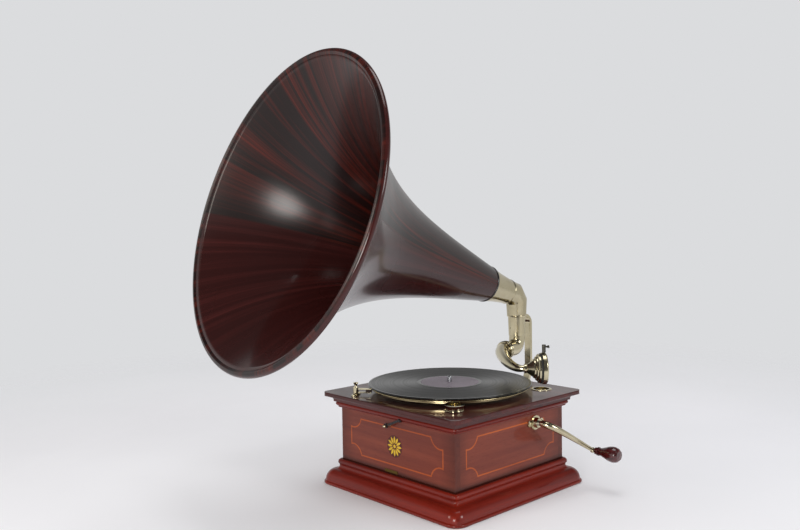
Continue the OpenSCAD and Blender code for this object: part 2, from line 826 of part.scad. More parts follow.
// Upper and lower plate of the motor, with the holes that the shafts turn in.
module motor_plates() {
    size = [plate_x[1] - plate_x[0], plate_y[1] - plate_y[0], plate_t];
    color(brass) difference() {
        union() {
            translate([plate_x[0], plate_y[0], top_plate_z]) cube(size);
            translate([plate_x[0], plate_y[0], low_plate_z]) cube(size);
        }
        for (z = [top_plate_z, low_plate_z]) {
            motor_bolt_places() translate([0, 0, z - cabinet_h - eps]) cylinder(r = 2, h = plate_t + 2 * eps);
            translate([barrel_axis[0], barrel_axis[1], z - eps])
                cylinder(r = arbor_pivot_r + run_gap, h = plate_t + 2 * eps);
            translate([second_axis[0], second_axis[1], z - eps])
                cylinder(r = 2 + run_gap, h = plate_t + 2 * eps);
        }
        translate([spindle[0], spindle[1], top_plate_z - eps])
            cylinder(r = spindle_r + run_gap, h = plate_t + 2 * eps);
        translate([spindle[0], spindle[1], low_plate_z - eps])
            cylinder(r = 2 + run_gap, h = plate_t + 2 * eps);
    }
}

module motor_pillars() {
    color(steel) motor_bolt_places() translate([0, 0, motor_floor - cabinet_h]) difference() {
        cylinder(r = pillar_r, h = motor_gap);
        translate([0, 0, -eps]) cylinder(r = 2, h = motor_gap + 2 * eps);
    }
}

module motor_bolts() {
    under = board_t + 2 * plate_t + motor_gap;
    color(nickel) motor_bolt_places() {
        screw(4, 2.4, 2, under);
        translate([0, 0, -under - 3]) difference() {
            cylinder(r = 3.6, h = 3, $fn = 6);
            translate([0, 0, -eps]) cylinder(r = 2, h = 3 + 2 * eps);
        }
        translate([0, 0, -under - 3]) cylinder(r = 2, h = 3);
    }
}

// Brackets that carry the governor, and the one that carries the winding shaft's inner end.
module shaft_bearings() {
    leg = 4;
    color(brass) {
        for (x = [governor_left, governor_right]) difference() {
            translate([x - leg / 2, governor_y - 5, motor_floor]) cube([leg, 10, governor_z - motor_floor + 5]);
            translate([x - leg, governor_y, governor_z]) rotate([0, 90, 0])
                cylinder(r = governor_r + run_gap, h = 2 * leg);
        }
        difference() {
            translate([winding_bearing_x, crank_y - 7, crank_z - 7])
                cube([leg, 14, top_plate_z - crank_z + 7]);
            translate([winding_bearing_x - eps, crank_y, crank_z]) rotate([0, 90, 0])
                cylinder(r = shaft_r + run_gap, h = leg + 2 * eps);
        }
    }
}

module spindle_gears() {
    wheel_t = 3;
    color(steel) translate([spindle[0], spindle[1], second_z - 1]) difference() {
        gear(second_pinion_teeth, second_module, second_t + 2, second_line + 180 + 180 / second_pinion_teeth);
        translate([0, 0, -eps]) cylinder(r = spindle_r, h = second_t + 3);
    }
    color(brass) translate([spindle[0], spindle[1], governor_z - wheel_t / 2]) difference() {
        gear(governor_wheel_teeth, governor_module, wheel_t, -90);
        translate([0, 0, -eps]) cylinder(r = spindle_r, h = wheel_t + 2 * eps);
    }
}

module intermediate_gears() {
    color(brass) translate([second_axis[0], second_axis[1], second_z]) difference() {
        gear(second_wheel_teeth, second_module, second_t, second_line);
        translate([0, 0, -eps]) cylinder(r = 3, h = second_t + 2 * eps);
        for (a = [0 : 72 : 288]) rotate(a) translate([13, 0, -eps]) cylinder(r = 5, h = second_t + 2 * eps);
    }
    color(steel) translate([second_axis[0], second_axis[1], first_z - 1]) difference() {
        gear(first_pinion_teeth, first_module, first_t + 2, first_line + 180 + 180 / first_pinion_teeth);
        translate([0, 0, -eps]) cylinder(r = 3, h = first_t + 3);
    }
}

module intermediate_arbor() {
    color(steel) translate([second_axis[0], second_axis[1], 0]) {
        translate([0, 0, low_plate_z]) cylinder(r = 2, h = top_plate_z + plate_t - low_plate_z);
        translate([0, 0, motor_floor + 0.5]) difference() {
            cylinder(r = 3, h = motor_gap - 1);
            translate([0, 0, -eps]) cylinder(r = 2, h = motor_gap);
        }
    }
}

// Drum with its gear below and a cover on top.
module spring_barrel() {
    wall = barrel_wall;
    hub = arbor_hub_r;
    color(brass) translate([barrel_axis[0], barrel_axis[1], first_z]) difference() {
        union() {
            gear(barrel_teeth, first_module, first_t, first_line);
            translate([0, 0, first_t]) cylinder(r = barrel_r, h = barrel_h - wall);
        }
        translate([0, 0, first_t]) cylinder(r = barrel_r - wall, h = barrel_h);
        translate([0, 0, -eps]) cylinder(r = hub + run_gap, h = first_t + 2 * eps);
    }
    color(brass) translate([barrel_axis[0], barrel_axis[1], first_z + first_t + barrel_h - wall]) difference() {
        cylinder(r = barrel_r, h = wall);
        translate([0, 0, -eps]) cylinder(r = hub + run_gap, h = wall + 2 * eps);
    }
}

// Flat steel ribbon wound in a spiral inside the barrel.
module mainspring() {
    turns = 6;
    steps = 20;
    thick = 1.1;
    from = arbor_hub_r + rest_gap + thick / 2;
    to = barrel_r - barrel_wall - thick / 2 - 0.1;
    function spiral(t, off) = (from + (to - from) * t / turns + off) * [cos(360 * t), sin(360 * t)];
    outer = [for (i = [0 : turns * steps]) spiral(i / steps, thick / 2)];
    inner = [for (i = [turns * steps : -1 : 0]) spiral(i / steps, -thick / 2)];
    color([0.30, 0.32, 0.38]) translate([barrel_axis[0], barrel_axis[1], first_z + first_t + 1])
        linear_extrude(height = barrel_h - 5) polygon(concat(outer, inner));
}

// Arbor through the barrel, with the crown wheel that the winding pinion turns.
module spring_arbor() {
    color(steel) translate([barrel_axis[0], barrel_axis[1], 0]) {
        translate([0, 0, low_plate_z]) cylinder(r = arbor_pivot_r, h = plate_t + 1);
        translate([0, 0, motor_floor + 0.5]) cylinder(r = arbor_hub_r, h = crown_disc_z - motor_floor - 0.5);
        translate([0, 0, crown_disc_z]) cylinder(r = arbor_pivot_r, h = top_plate_z + plate_t - crown_disc_z);
    }
    color(brass) translate([barrel_axis[0], barrel_axis[1], crown_disc_z]) {
        cylinder(r = crown_r + 2, h = crown_disc_t);
        for (k = [0 : crown_teeth - 1]) rotate(360 * k / crown_teeth) crown_tooth();
    }
}

// Upright tooth of the crown wheel, tapered towards its tip.
module crown_tooth() {
    low = 0.8;
    high = 0.35;
    translate([crown_r - 2, 0, crown_disc_t]) rotate([90, 0, 90]) linear_extrude(height = 4)
        polygon([[-low, -0.2], [low, -0.2], [high, crown_depth], [-high, crown_depth]]);
}

module winding_pinion() {
    color(steel) crank_place(barrel_x + crown_r - 3) difference() {
        gear(crown_pinion_teeth, crown_module, 6, 180 / crown_pinion_teeth);
        translate([0, 0, -eps]) cylinder(r = shaft_r - 0.5, h = 6 + 2 * eps);
    }
}

// Puts a shape on the crank's axis, its own Z pointing out of the right side.
module crank_place(x) {
    translate([x, crank_y, crank_z]) rotate([0, 90, 0]) children();
}

winding_bearing_x = barrel_x + crown_r + 8;
escutcheon_t = 2.5;
escutcheon_hub_r = 6.5;

module winding_shaft() {
    inner_x = barrel_x + crown_r - 3.5;
    color(steel) {
        crank_place(inner_x) cylinder(r = shaft_r - 0.5, h = 8);
        crank_place(inner_x + 8) cylinder(r = shaft_r, h = crank_elbow_x - 3 - inner_x - 8);
    }
}

module escutcheon_screw_places() {
    for (s = [-1, 1]) translate([panel_x + escutcheon_t, crank_y + 13.5 * s, crank_z]) rotate([0, 90, 0]) children();
}

// Lobed plate with a round boss that the winding shaft turns in.
module crank_escutcheon() {
    bush_h = 6;
    color(nickel) crank_place(panel_x) difference() {
        union() {
            linear_extrude(height = escutcheon_t) {
                circle(10.5);
                for (s = [-1, 1]) translate([0, 13.5 * s]) circle(4.7);
                for (a = [45 : 90 : 315]) rotate(a) translate([5.5, 0]) circle(5.6);
            }
            translate([0, 0, escutcheon_t]) cylinder(r1 = 8, r2 = 6.6, h = bush_h);
            translate([0, 0, -panel_t]) cylinder(r = escutcheon_hub_r, h = panel_t);
        }
        translate([0, 0, -panel_t - eps]) cylinder(r = shaft_r + run_gap, h = panel_t + escutcheon_t + bush_h + 2 * eps);
        for (s = [-1, 1]) translate([0, 13.5 * s, -eps]) cylinder(r = 1.4, h = escutcheon_t + 2 * eps);
    }
}

// Direction of the crank's throw, in the plane of the side panel.
crank_dir = [0, cos(crank_angle), -sin(crank_angle)];
crank_start = [crank_elbow_x, crank_y, crank_z];
crank_end = crank_start + crank_throw * crank_dir + [crank_lean, 0, 0];
crank_bar_len = norm(crank_end - crank_start);
crank_bar_lean = atan(crank_lean / crank_throw);

// Round bar from the shaft's end to the handle, with round knuckles at both ends.
module crank_arm() {
    color(nickel) difference() {
        union() {
            translate(crank_start) rotate([-crank_angle, 0, 0]) {
                sphere(crank_bar_r + 1.4);
                rotate([0, 0, -crank_bar_lean]) rotate([-90, 0, 0]) cylinder(r = crank_bar_r, h = crank_bar_len - 2);
                translate([-6, 0, 0]) rotate([0, 90, 0]) cylinder(r = shaft_r + 1.8, h = 6);
            }
            translate(crank_end) rotate([0, 90, 0]) rotate_extrude() difference() {
                intersection() {
                    circle(knuckle_r);
                    translate([0, -knuckle_r]) square(2 * knuckle_r);
                }
                translate([-eps, 1.5]) square([handle_pin_r + eps, knuckle_r]);
            }
        }
        crank_place(crank_elbow_x - 6 - eps) cylinder(r = shaft_r, h = 3 + eps);
    }
}

// Pear-shaped handle that turns freely on its pin.
module crank_handle() {
    from = knuckle_r + handle_gap;
    pts_r = handle_r;
    color([0.30, 0.08, 0.05]) translate(crank_end) rotate([0, 90, 0]) rotate_extrude() difference() {
        union() {
            translate([0, from]) square([5.2, 4]);
            translate([0, from + 4]) square([6.4, 2]);
            polygon([[0, from + 6], [5.2, from + 6], [6.2, from + 11], [8.4, from + 17], [10.6, from + 23],
                     [pts_r, from + 29], [pts_r, handle_len - 9], [pts_r - 1.4, handle_len - 4],
                     [pts_r - 4.4, handle_len - 0.8], [0, handle_len]]);
        }
        translate([-eps, 0]) square([handle_pin_r + run_gap + eps, handle_len - 5]);
    }
}

module crank_pin() {
    color(steel) translate(crank_end) rotate([0, 90, 0])
        translate([0, 0, 1.5]) cylinder(r = handle_pin_r, h = handle_len - 7.5);
}

// Horizontal shaft with the worm, turned by the wheel on the spindle.
module governor_spindle() {
    pitch = PI * governor_module;
    turns = 5;
    steps = 16;
    core_r = worm_r - 1;
    thread_h = 1.75;
    from = -turns * pitch / 2;
    function screw_ring(a) =
        let (y = cos(a), z = sin(a), x = from + pitch * a / 360)
        [for (p = [[0.55, core_r - 0.3], [0.25, core_r + thread_h], [-0.25, core_r + thread_h], [-0.55, core_r - 0.3]])
            [x + p[0], p[1] * y, p[1] * z]];
    color(steel) translate([spindle[0], governor_y, governor_z]) {
        translate([governor_left - 3, 0, 0]) rotate([0, 90, 0])
            cylinder(r = governor_r, h = governor_right - governor_left + 6);
        translate([-7, 0, 0]) rotate([0, 90, 0]) difference() {
            cylinder(r = core_r, h = 14);
            translate([0, 0, -eps]) cylinder(r = governor_r, h = 14 + 2 * eps);
        }
        ring_stack([for (i = [0 : turns * steps]) screw_ring(360 * i / steps)]);
    }
}

// Three round lead weights on flat springs between two collars.
module governor_weights() {
    collar_r = 4.5;
    reach = 15;
    color(steel) translate([ball_x, governor_y, governor_z]) for (x = [-reach, reach - 3])
        translate([x, 0, 0]) rotate([0, 90, 0]) difference() {
            cylinder(r = collar_r, h = 3);
            translate([0, 0, -eps]) cylinder(r = governor_r, h = 3 + 2 * eps);
        }
    color([0.5, 0.5, 0.52]) translate([ball_x, governor_y, governor_z]) for (a = [0, 120, 240])
        rotate([a, 0, 0]) {
            translate([0, 0, ball_out - 3]) cylinder(r1 = 3.4, r2 = ball_r, h = 2.4);
            translate([0, 0, ball_out - 0.6]) cylinder(r = ball_r, h = 2.2);
            translate([0, 0, ball_out + 1.6]) cylinder(r1 = ball_r, r2 = 3.4, h = 2.4);
            spring_leaf(reach - 1, collar_r - 1.2);
        }
}

// Bowed leaf from one collar to the other, under the weight.
module spring_leaf(reach, low) {
    high = ball_out - 3;
    t = 0.6;
    rotate([90, 0, 0]) linear_extrude(height = 4, center = true)
        polygon([[-reach, low], [-6, high], [6, high], [reach, low],
                 [reach, low + t], [6, high + t], [-6, high + t], [-reach, low + t]]);
}

// Friction disc that the speed regulator's pad presses on.
module governor_disc() {
    color(steel) translate([disc_x, governor_y, governor_z]) rotate([0, 90, 0]) difference() {
        union() {
            cylinder(r = disc_r, h = 1.6);
            cylinder(r = 4.5, h = 3);
        }
        translate([0, 0, -eps]) cylinder(r = governor_r, h = 3 + 2 * eps);
    }
}

// ---------------------------------------------------------------- bracket behind the cabinet

module bracket_screw_places() {
    for (x = [-1, 1], z = [9, foot_h - 9])
        translate([12 * x, half_body + foot_t, foot_z + z]) rotate([-90, 0, 0]) children();
}

// Middle line of the bracket: out of the foot, a wide bend up, and a tight bend in to the socket.
module bracket_outline() {
    t = bracket_t / 2;
    low_mid = [bracket_out_y - bracket_low_r, bracket_z + bracket_low_r];
    high_mid = [bracket_out_y - bracket_high_r, socket_top - 0.5 - t - bracket_high_r];
    intersection() {
        difference() {
            translate(low_mid) circle(bracket_low_r + t);
            translate(low_mid) circle(bracket_low_r - t);
        }
        translate([low_mid[0], low_mid[1] - 2 * bracket_low_r]) square(2 * bracket_low_r);
    }
    translate([half_body + foot_t / 2, bracket_z - t])
        square([low_mid[0] - half_body - foot_t / 2, 2 * t]);
    translate([bracket_out_y - t, low_mid[1]]) square([2 * t, high_mid[1] - low_mid[1]]);
    intersection() {
        difference() {
            translate(high_mid) circle(bracket_high_r + t);
            translate(high_mid) circle(bracket_high_r - t);
        }
        translate(high_mid) square(2 * bracket_high_r);
    }
    translate([arm_axis_y + socket_r - 2, high_mid[1] + bracket_high_r - t])
        square([high_mid[0] - arm_axis_y - socket_r + 2, 2 * t]);
}

module horn_bracket() {
    bead_z = socket_top - 4;
    color(nickel) difference() {
        union() {
            translate([-foot_w / 2, half_body, foot_z]) cube([foot_w, foot_t, foot_h]);
            rotate([90, 0, 90]) linear_extrude(height = bracket_w, center = true) bracket_outline();
            translate([0, arm_axis_y, socket_z]) cylinder(r1 = socket_r - 1, r2 = socket_r, h = socket_len - 4);
            translate([0, arm_axis_y, bead_z]) cylinder(r = socket_r, h = 4);
            translate([0, arm_axis_y, bead_z + 2]) rotate_extrude() translate([socket_r, 0]) circle(1.9);
        }
        translate([0, arm_axis_y, socket_z - eps]) cylinder(r = socket_bore_r, h = socket_len + 2 * eps);
        translate([0, arm_axis_y, socket_step]) cylinder(r = elbow_spigot_r, h = socket_len);
        bracket_screw_places() translate([0, 0, -foot_t - eps]) cylinder(r = 1.8, h = foot_t + 2 * eps);
        stop_screw_place() cylinder(r = 1.5, h = 10);
    }
}

// The screw that holds the tonearm in the socket enters from the left.
module stop_screw_place() {
    translate([0, arm_axis_y, socket_z + stop_screw_up]) rotate([0, 0, -99]) rotate([0, 90, 0])
        translate([0, 0, socket_bore_r - 0.6]) children();
}

module case_screws() {
    color(nickel) {
        bracket_screw_places() screw(3.4, 2, 1.8, foot_t + 8);
        escutcheon_screw_places() screw(2.4, 1.2, 1.4, escutcheon_t + 6);
        stop_screw_place() cylinder(r = 1.5, h = 3.4);
    }
}

// ---------------------------------------------------------------- horn

// Puts a shape on the horn's axis, its own Z pointing out of the mouth.
module horn_place() {
    translate([0, arm_axis_y, horn_z]) rotate([0, 0, -horn_turn]) rotate([90 - horn_slope, 0, 0]) children();
}

horn_dir = [-sin(horn_turn) * cos(horn_slope), -cos(horn_turn) * cos(horn_slope), sin(horn_slope)];
bend_angle = 90 - horn_slope;
bend_tangent = elbow_bend * tan(bend_angle / 2);

// Points of the elbow's middle line, from the socket up and round to the sleeve.
function elbow_point(t) =
    let (a = bend_angle * t,
         flat = [-sin(horn_turn), -cos(horn_turn), 0],
         start = [0, arm_axis_y, horn_z - bend_tangent])
    start + elbow_bend * (1 - cos(a)) * flat + [0, 0, elbow_bend * sin(a)];
function elbow_dir(t) =
    let (a = bend_angle * t) [-sin(horn_turn) * sin(a), -cos(horn_turn) * sin(a), cos(a)];
function elbow_rings(r0, r1, before, past) =
    let (steps = 10, sleeve_start = [0, arm_axis_y, horn_z] + sleeve_from * horn_dir)
    concat(
        [ring_at([0, arm_axis_y, socket_top + rest_gap - before], [0, 0, 1], r0, 40)],
        [for (i = [0 : steps]) ring_at(elbow_point(i / steps), elbow_dir(i / steps), r0 + (r1 - r0) * i / steps, 40)],
        [ring_at(sleeve_start + past * horn_dir, horn_dir, r1, 40)]);

// Hollow elbow that turns in the top of the bracket's socket.
module horn_elbow() {
    spigot = socket_top - socket_step - rest_gap;
    color(nickel) difference() {
        union() {
            ring_stack(elbow_rings(elbow_r, sleeve_r, 0, 0));
            translate([0, arm_axis_y, socket_top - spigot])
                cylinder(r = elbow_spigot_r - run_gap, h = spigot + 3);
        }
        ring_stack(elbow_rings(elbow_bore, sleeve_bore, spigot + rest_gap + eps, eps));
    }
}

// Tapered metal sleeve between the elbow and the horn's neck.
module horn_sleeve() {
    h = bell_from - sleeve_from;
    color(nickel) horn_place() translate([0, 0, sleeve_from]) rotate_extrude()
        polygon([[sleeve_bore, 0], [sleeve_r, 0], [sleeve_r + 0.8, 1.2], [sleeve_r + 0.2, 2.6],
                 [24.6, h - 18], [bell_neck_r - 0.4, h - 2], [bell_neck_r - 0.4, h],
                 [bell_neck_r - sleeve_wall - 2.4, h], [22.6, h - 18]]);
}

// Black turned ring that covers the joint of sleeve and bell.
module horn_end_ring() {
    color(black) horn_place() rotate_extrude() difference() {
        translate([bell_neck_r, bell_from - 3]) {
            translate([-0.4, 0]) square([1.9, 7]);
            translate([1.2, 1.5]) circle(1);
            translate([1.2, 4.9]) circle(1.2);
        }
        bell_profile();
    }
}

// Outer radius of the bell at a share t of its length.
function flare_r(t) = bell_neck_r + bell_cone * t + bell_flare * pow(t, 4);
function flare_slope(t) = (bell_cone + 4 * bell_flare * pow(t, 3)) / bell_len;

// Half section of the bell: its radius grows by a straight share and a fourth-power share.
module bell_profile() {
    outer = [for (i = [0 : flare_steps]) let (t = i / flare_steps) [flare_r(t), bell_from + bell_len * t]];
    inner = [for (i = [flare_steps : -1 : 0]) let (t = i / flare_steps, b = atan(flare_slope(t)))
        [flare_r(t) - bell_wall * cos(b), bell_from + bell_len * t + (i == 0 ? 0 : bell_wall * sin(b))]];
    polygon(concat(outer, inner));
}

// Thin wooden bell.
module horn_bell() {
    color(walnut) horn_place() rotate_extrude() bell_profile();
}

// Turned ring round the mouth, flush with the bell's inner face, with a shallow groove.
module horn_rim() {
    out = rim_t / 2;
    b = atan(flare_slope(1));
    along = [sin(b), cos(b)];
    across = [cos(b), -sin(b)];
    mid = [flare_r(1), bell_from + bell_len] + 0.4 * out * along + (out - bell_wall) * across;
    color(walnut) horn_place() rotate_extrude() difference() {
        translate(mid) circle(out);
        bell_profile();
        translate(mid + (out + 0.6) * [-cos(b) * 0.5, 0.87]) circle(1.2);
    }
}

// ---------------------------------------------------------------- tonearm

// Puts a shape at the tonearm's axis, its own X pointing along the stub.
module stub_place() {
    translate([0, arm_axis_y, arm_z]) rotate([0, 0, arm_turn - 90]) children();
}

// Bent tube: a spigot in the socket above, a quarter bend and a short stub.
module tonearm_stub() {
    shoulder_z = socket_z - rest_gap - arm_z;
    spigot_top = socket_step - rest_gap - arm_z;
    color(nickel) stub_place() difference() {
        union() {
            translate([0, 0, arm_bend]) cylinder(r = arm_r, h = shoulder_z - arm_bend);
            translate([0, 0, arm_bend]) cylinder(r = socket_bore_r - run_gap, h = spigot_top - arm_bend);
            quarter_bend(arm_r);
            translate([arm_bend, 0, 0]) rotate([0, 90, 0])
                cylinder(r = arm_r, h = arm_stub - arm_bend - collar_len);
            translate([arm_stub - collar_len, 0, 0]) rotate([0, 90, 0]) cylinder(r = arm_r - 1, h = collar_len);
        }
        translate([0, 0, arm_bend]) cylinder(r = arm_bore_r, h = spigot_top);
        quarter_bend(arm_bore_r);
        translate([arm_bend, 0, 0]) rotate([0, 90, 0]) cylinder(r = arm_bore_r, h = arm_stub);
        translate([0, 0, socket_z + stop_screw_up - arm_z]) rotate_extrude()
            translate([socket_bore_r - 0.9, -1.8]) square([3, 3.6]);
    }
}

// Quarter of a torus from straight down to straight ahead.
module quarter_bend(r) {
    translate([arm_bend, 0, arm_bend]) rotate([90, 0, 0]) rotate([0, 0, 180])
        rotate_extrude(angle = 90) translate([arm_bend, 0]) circle(r);
}

// Two beads on the end of the stub.
module tonearm_collar() {
    bead_r = 2.1;
    len = collar_len - 0.4;
    color(nickel) stub_place() translate([arm_stub - collar_len, 0, 0]) rotate([0, 90, 0]) rotate([0, 0, 17])
        rotate_extrude() difference() {
            union() {
                translate([arm_r - 1, 0]) square([1.6, len]);
                for (z = [bead_r + 0.3, len - bead_r - 0.3]) translate([arm_r + 0.2, z]) circle(bead_r);
            }
            square([arm_r - 1, len]);
        }
}

taper_start = [0, arm_axis_y, arm_z] + (arm_stub + rest_gap) * arm_dir;
taper_end = box_mid + neck_from * box_dir;
taper_r = [12.2, 4.9];
taper_bore = [7, neck_bore];
taper_pull = [18, 20];

// Point and direction on the taper arm's middle line at a share t of its way.
function taper_point(t) =
    let (a = taper_start, b = taper_start + taper_pull[0] * arm_dir,
         c = taper_end - taper_pull[1] * box_dir, d = taper_end, s = 1 - t)
    s * s * s * a + 3 * s * s * t * b + 3 * s * t * t * c + t * t * t * d;
function taper_way(t) =
    t <= 0 ? arm_dir : t >= 1 ? box_dir
    : let (v = taper_point(t + 0.01) - taper_point(t - 0.01)) v / norm(v);
function taper_rings(radii, before, past) =
    let (steps = 20)
    concat(
        before > 0 ? [ring_at(taper_start - before * arm_dir, arm_dir, radii[0], 28)] : [],
        [for (i = [0 : steps]) let (t = i / steps)
            ring_at(taper_point(t), taper_way(t), radii[0] + (radii[1] - radii[0]) * t, 28)],
        past > 0 ? [ring_at(taper_end + past * box_dir, box_dir, radii[1], 28)] : []);

// Tapered arm that turns on the stub's end and carries the sound box on its neck.
module taper_arm() {
    spigot = 9;
    color(nickel) difference() {
        union() {
            ring_stack(taper_rings(taper_r, 0, 0));
            translate([0, arm_axis_y, arm_z]) rotate([0, 0, arm_turn - 90])
                translate([arm_stub + rest_gap - spigot, 0, 0]) rotate([0, 90, 0])
                    cylinder(r = arm_bore_r - run_gap, h = spigot + 1);
            box_place() translate([0, 0, neck_from - 0.5]) cylinder(r = neck_r, h = neck_to - neck_from + 0.5);
        }
        ring_stack(taper_rings(taper_bore, spigot + eps, neck_to - neck_from + eps));
    }
}

// ---------------------------------------------------------------- sound box

// Puts a shape on the sound box's axis: its own Z points out of the face, its -X points up.
module box_place() {
    translate(box_mid) rotate([0, 0, box_turn]) rotate([0, 90, 0]) children();
}

// Flared rubber joint between the taper arm's neck and the sound box.
module sound_box_flange() {
    bore = neck_r + run_gap;
    color(black) box_place() rotate_extrude()
        polygon([[bore, -24.5], [7, -24.5], [7, -21.5], [6.2, -20.6], [12.6, box_back_z], [bore, box_back_z]]);
}

// Stepped metal back.
module sound_box_back() {
    color(nickel) box_place() rotate_extrude() difference() {
        polygon([[3.4, box_back_z], [13.6, box_back_z], [14.4, -10.6], [14.4, -8.6], [17.4, -7.8], [18, -7],
                 [18, -5.4], [20.6, -4.8], [21.4, -4], [21.4, -gasket_half], [3.4, -gasket_half]]);
        translate([0, -5]) square([17, 5]);
    }
}

// Rubber rings that hold the diaphragm's edge on both faces.
module sound_box_gaskets() {
    color(black) box_place() {
        difference() {
            translate([0, 0, -gasket_half]) cylinder(r = 22.2, h = 2 * gasket_half);
            translate([0, 0, -gasket_half - eps]) cylinder(r = 17, h = 2 * gasket_half + 2 * eps);
            translate([0, 0, -0.2]) cylinder(r = mica_r, h = 0.4);
        }
    }
}

module diaphragm() {
    color([0.85, 0.82, 0.72, 0.6]) box_place() translate([0, 0, -0.2]) cylinder(r = mica_r, h = 0.4);
}

// Front ring with a rounded edge, notched for the needle bar.
module sound_box_bezel() {
    r = 2.5;
    color(nickel) box_place() difference() {
        rotate_extrude() {
            translate([17, gasket_half]) square([box_r - 17, bezel_t - r]);
            translate([17 + r, gasket_half]) square([box_r - 17 - 2 * r, bezel_t]);
            for (x = [17 + r, box_r - r]) translate([x, gasket_half + bezel_t - r]) circle(r);
        }
        translate([-box_r - 1, -3, gasket_half + 1]) cube([10, 6, bezel_t]);
    }
}

// Lever from the diaphragm's middle, over the bezel's edge, to the needle chuck.
module needle_bar() {
    bar_z = 5;
    bar_w = 1.6;
    chuck_from = box_r + 0.5;
    color(nickel) box_place() {
        translate([0, 0, 0.2]) cylinder(r = 1.2, h = bar_z);
        translate([-chuck_from - 1, -bar_w / 2, bar_z - 0.8]) cube([chuck_from + 1.4, bar_w, 1.6]);
        translate([-box_r + 2.6, -2.95, bar_z - 1]) cube([3, 5.9, 2]);
        difference() {
            translate([-chuck_from - chuck_len, 0, bar_z]) rotate([0, 90, 0]) cylinder(r = 2.8, h = chuck_len);
            translate([-chuck_from - chuck_len - eps, 0, bar_z]) rotate([0, 90, 0])
                cylinder(r = needle_hole_r, h = 10 + eps);
            translate([-chuck_from - chuck_len + 3.2, 0, bar_z]) cylinder(r = 1.3, h = 5);
        }
    }
}

// Thumbscrew that clamps the needle, with a two-winged head.
module needle_screw() {
    color(nickel) box_place() translate([-box_r - 0.5 - chuck_len + 3.2, 0, 5]) {
        translate([0, 0, 1.2]) cylinder(r = 1.25, h = 4.8);
        translate([0, 0, 4.6]) cylinder(r = 1.8, h = 1.6);
        translate([0, 0, 6]) linear_extrude(height = 1.6) {
            circle(2);
            for (s = [-1, 1]) translate([0, 2.6 * s]) circle(1.7);
        }
    }
}

plinth_moulding();
bottom_board();
front_panel();
rear_panel();
left_panel();
right_panel();
glue_blocks();
bead_moulding();
motor_board();
panel_stringing();
front_rosette();
horn_bracket();
case_screws();
crank_escutcheon();
lid_hook();
lid_hook_fittings();
raised_needle_cup();
sunk_needle_cup();
brake_base();
brake_lever();
brake_pad();
brake_knob();
motor_plates();
motor_pillars();
motor_bolts();
shaft_bearings();
platter();
platter_felt();
record();
record_label();
spindle_shaft();
spindle_gears();
intermediate_gears();
intermediate_arbor();
spring_barrel();
mainspring();
spring_arbor();
winding_shaft();
winding_pinion();
crank_arm();
crank_handle();
crank_pin();
governor_spindle();
governor_weights();
governor_disc();
tonearm_stub();
tonearm_collar();
taper_arm();
sound_box_flange();
sound_box_back();
sound_box_gaskets();
diaphragm();
sound_box_bezel();
needle_bar();
needle_screw();
horn_elbow();
horn_sleeve();
horn_end_ring();
horn_bell();
horn_rim();
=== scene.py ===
"""A table gramophone with a square mahogany cabinet, a hand-wound spring motor and a wooden horn.

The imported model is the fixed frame. Each operator dresses one group of parts: it gives them their
finish, or puts a smooth-shaded or finer piece in their place. The stage comes last."""

import json
import math

import bmesh
import bpy
from bpy.props import FloatProperty, FloatVectorProperty, IntProperty, PointerProperty
from mathutils import Euler, Matrix, Vector


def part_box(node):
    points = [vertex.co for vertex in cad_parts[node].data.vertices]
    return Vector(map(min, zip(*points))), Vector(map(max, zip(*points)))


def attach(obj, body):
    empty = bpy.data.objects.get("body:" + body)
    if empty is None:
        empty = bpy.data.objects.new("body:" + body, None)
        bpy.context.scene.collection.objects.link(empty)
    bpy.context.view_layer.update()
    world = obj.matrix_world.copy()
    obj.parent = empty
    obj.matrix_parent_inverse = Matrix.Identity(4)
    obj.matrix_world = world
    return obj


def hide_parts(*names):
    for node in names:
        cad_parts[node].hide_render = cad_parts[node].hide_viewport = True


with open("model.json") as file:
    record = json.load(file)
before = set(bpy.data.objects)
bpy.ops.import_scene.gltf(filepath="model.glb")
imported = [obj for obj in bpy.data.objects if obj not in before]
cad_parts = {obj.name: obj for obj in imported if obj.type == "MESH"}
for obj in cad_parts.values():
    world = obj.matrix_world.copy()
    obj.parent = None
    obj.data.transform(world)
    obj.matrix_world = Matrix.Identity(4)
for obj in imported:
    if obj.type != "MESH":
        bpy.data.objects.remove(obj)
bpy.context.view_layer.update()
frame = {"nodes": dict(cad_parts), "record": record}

bl_info = {
    "name": "Table Gramophone",
    "version": (1, 0, 0),
    "blender": (4, 5, 0),
    "location": "3D View > Sidebar > Gramophone",
    "description": "Dresses a table gramophone: wood, plate, inlay, record, horn, lamps and camera",
    "category": "Object",
}

BEHAVIOUR = frame["record"]["behaviour"]
BODY_OF = {node: body for body, nodes in BEHAVIOUR["bodies"].items() for node in nodes}
JOINT_AT = {joint["name"]: Vector(joint["pos_m"]) for joint in BEHAVIOUR["joints"]}

QUARTER = math.radians(90)

# The horn's axis: its foot on the tonearm's axis, its upward slope and its turn to the left.
HORN_FOOT = (0.0, 0.160, 0.2785)
HORN_SLOPE = math.radians(17.6)
HORN_TURN = math.radians(4.65)
HORN_EULER = (QUARTER - HORN_SLOPE, 0.0, -HORN_TURN)
HORN_WAY = Euler(HORN_EULER).to_matrix() @ Vector((0.0, 0.0, 1.0))

# Where the middle of the bare plate sits on the front panel.
PLATE_X = -0.0075
PLATE_Z = 0.0405

# The camera that was fitted to the photograph: its place, its axes, its lens and its sensor in millimetres.
CAMERA_PLACE = (0.856137, -0.896929, 0.395619)
CAMERA_RIGHT = (0.68031479, 0.73275734, -0.0154422)
CAMERA_UP = (-0.02449471, 0.04378922, 0.99874046)
CAMERA_BACK = (0.73251061, -0.67907966, 0.04773913)
CAMERA_LENS = 36.506
CAMERA_SENSOR = 36.0

